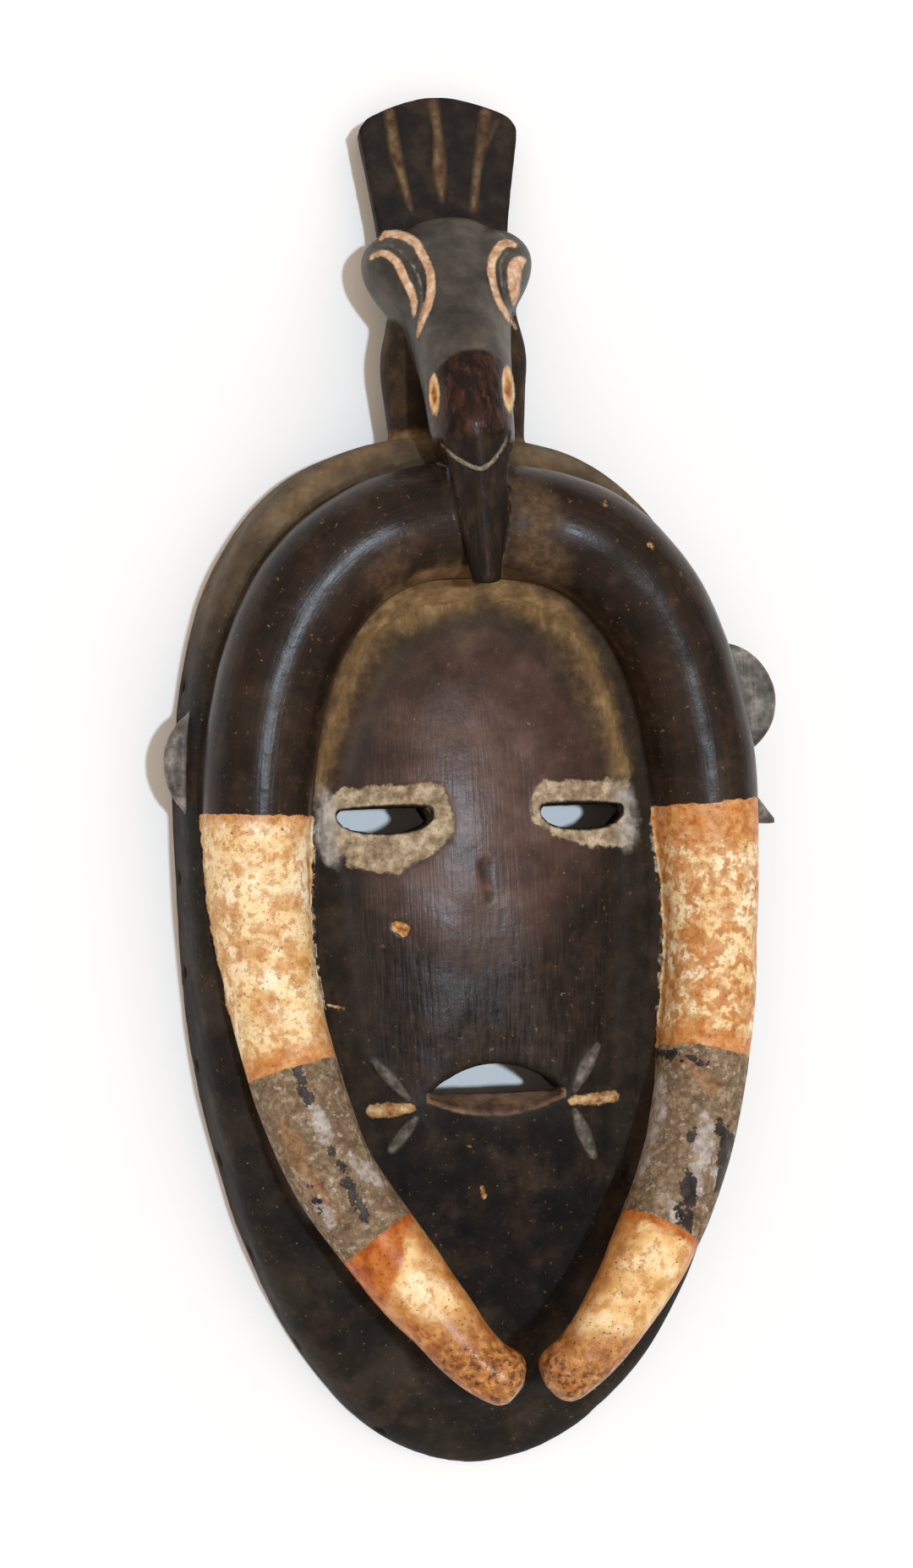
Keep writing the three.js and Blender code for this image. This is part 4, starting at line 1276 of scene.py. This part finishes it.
run = add(tree, "Attribute", {}, attribute_name="run").outputs["Vector"]
patterns = {}


def pattern(size, stretch=None, detail=6):
    if (size, stretch, detail) not in patterns:
        where = in_millimetres
        if stretch:
            where = add(tree, "Mapping", {"Vector": run, "Scale": stretch}).outputs[0]
        clouds = add(tree, "TexNoise", {"Vector": where, "Scale": 1 / size, "Detail": detail,
                                        "Roughness": 0.62})
        patterns[size, stretch, detail] = clouds.outputs[0]
    return patterns[size, stretch, detail]


def three_colours(value, colours):
    ramp = add(tree, "ValToRGB", {"Fac": value})
    ramp.color_ramp.elements.new(0.5)
    for element, at, code in zip(ramp.color_ramp.elements, (0.34, 0.5, 0.66), colours):
        element.position, element.color = at, colour(code)
    return ramp.outputs[0]


# The plain lacquer: a knife's tool lines about 1 mm apart and 35 mm long, shallower on the rolls,
# and a soft unevenness of 3.5 mm. Lengths are millimetres.
tool_lines = pattern(1.1, (0.03, 1, 1), 2)
clouds = add(tree, "Math", {0: tool_lines, 1: 0.6, 2: -0.18}, operation="MULTIPLY_ADD").outputs[0]
clouds = add(tree, "Math", {0: pattern(30), 1: 0.75, 2: clouds}, operation="MULTIPLY_ADD").outputs[0]
coat = three_colours(clouds, ("#0d0907", "#19120d", "#2e221b"))
rough = add(tree, "MapRange", {"Value": tool_lines, "From Min": 0.35, "From Max": 0.65,
                               "To Min": 0.2, "To Max": 0.4}).outputs[0]
rolled = add(tree, "Attribute", {}, attribute_name="rolls").outputs["Fac"]
line_depth = add(tree, "MapRange", {"Value": rolled, "From Min": -1, "From Max": 1,
                                    "To Min": 0.06, "To Max": 0.11}).outputs[0]
height = add(tree, "Math", {0: tool_lines, 1: line_depth}, operation="MULTIPLY").outputs[0]
height = add(tree, "Math", {0: pattern(3.5), 1: 0.14, 2: height}, operation="MULTIPLY_ADD").outputs[0]
covers = {}
for kind in coats:
    cover = covers.get(kind.get("within"), 1)
    if "field" in kind:
        field = add(tree, "Attribute", {}, attribute_name=kind["field"]).outputs["Fac"]
        ragged = kind.get("ragged", 0)
        if ragged:
            field = add(tree, "Math", {0: pattern(kind["lump"]), 1: ragged * 2, 2: field},
                        operation="MULTIPLY_ADD").outputs[0]
        middle = kind.get("edge", 0) + ragged
        own = add(tree, "MapRange", {"Value": field, "From Min": middle + kind["soft"],
                                     "From Max": middle - kind["soft"]}, interpolation_type="SMOOTHSTEP")
        cover = add(tree, "Math", {0: own.outputs[0], 1: cover}, operation="MULTIPLY").outputs[0]
        covers.setdefault(kind["field"], cover)
    if "spots" in kind:
        size, limit, soft = kind["spots"]
        clouds = pattern(size, kind.get("run"), kind.get("detail", 6))
        spots = add(tree, "MapRange", {"Value": clouds, "From Min": limit - soft, "From Max": limit + soft},
                    interpolation_type="SMOOTHSTEP")
        cover = add(tree, "Math", {0: cover, 1: spots.outputs[0]}, operation="MULTIPLY").outputs[0]
    cover = add(tree, "Math", {0: cover, 1: kind.get("most", 1)}, operation="MULTIPLY").outputs[0]
    paint = three_colours(pattern(kind["mottle"], kind.get("run")), kind["colours"])
    coat = add(tree, "Mix", {0: cover, 6: coat, 7: paint}, data_type="RGBA").outputs[2]
    rough = add(tree, "Mix", {0: cover, 2: rough, 3: kind["rough"]}).outputs[0]
    if "stands" in kind:
        height = add(tree, "Math", {0: cover, 1: kind["stands"], 2: height},
                     operation="MULTIPLY_ADD").outputs[0]
bump = add(tree, "Bump", {"Height": height, "Distance": 0.001, "Strength": 1})
surface = add(tree, "BsdfPrincipled", {"Base Color": coat, "Roughness": rough, "Normal": bump.outputs[0],
                                       "IOR": 1.5, "Specular IOR Level": 0.19})
add(tree, "OutputMaterial", {"Surface": surface.outputs[0]})
wood_mesh.materials.append(lacquer)
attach(mask, "root")
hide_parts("mask")


# The floor: a plain white sheet, wide enough to fill every view.
floor_shape = bmesh.new()
bmesh.ops.create_grid(floor_shape, x_segments=1, y_segments=1, size=6)
floor_mesh = bpy.data.meshes.new("floor")
floor_shape.to_mesh(floor_mesh)
floor_shape.free()
floor = bpy.data.objects.new("floor", floor_mesh)
bpy.context.scene.collection.objects.link(floor)
sheet = bpy.data.materials.new("white_paper")
sheet.use_nodes = True
paper = sheet.node_tree.nodes["Principled BSDF"]
paper.inputs["Base Color"].default_value = colour("#f6f5f3")
paper.inputs["Roughness"].default_value = 0.9
paper.inputs["Specular IOR Level"].default_value = 0.1
floor_mesh.materials.append(sheet)


# The light: one small cool lamp almost straight over the mask, and a warm room that is brightest
# overhead, so the shadows on the sheet stay soft and pale.
lamp_data = bpy.data.lights.new("lamp", "SUN")
lamp_data.energy = 1.65
lamp_data.angle = math.radians(2.5)
lamp_data.color = (0.83, 1, 1.17)
lamp = bpy.data.objects.new("lamp", lamp_data)
lamp.rotation_euler = (0, math.radians(3), 0)
bpy.context.scene.collection.objects.link(lamp)
room = bpy.data.worlds.new("room")
room.use_nodes = True
tree = room.node_tree
tree.nodes.clear()
direction = add(tree, "SeparateXYZ", {"Vector": add(tree, "TexCoord", {}).outputs["Generated"]}).outputs["Z"]
strength = add(tree, "MapRange", {"Value": direction, "From Min": 0, "From Max": 1, "To Min": 0.35,
                                  "To Max": 1}).outputs[0]
glow = add(tree, "Background", {"Color": (1, 0.84, 0.7, 1), "Strength": strength})
add(tree, "OutputWorld", {"Surface": glow.outputs[0]})
bpy.context.scene.world = room
bpy.context.scene.view_settings.view_transform = "Standard"
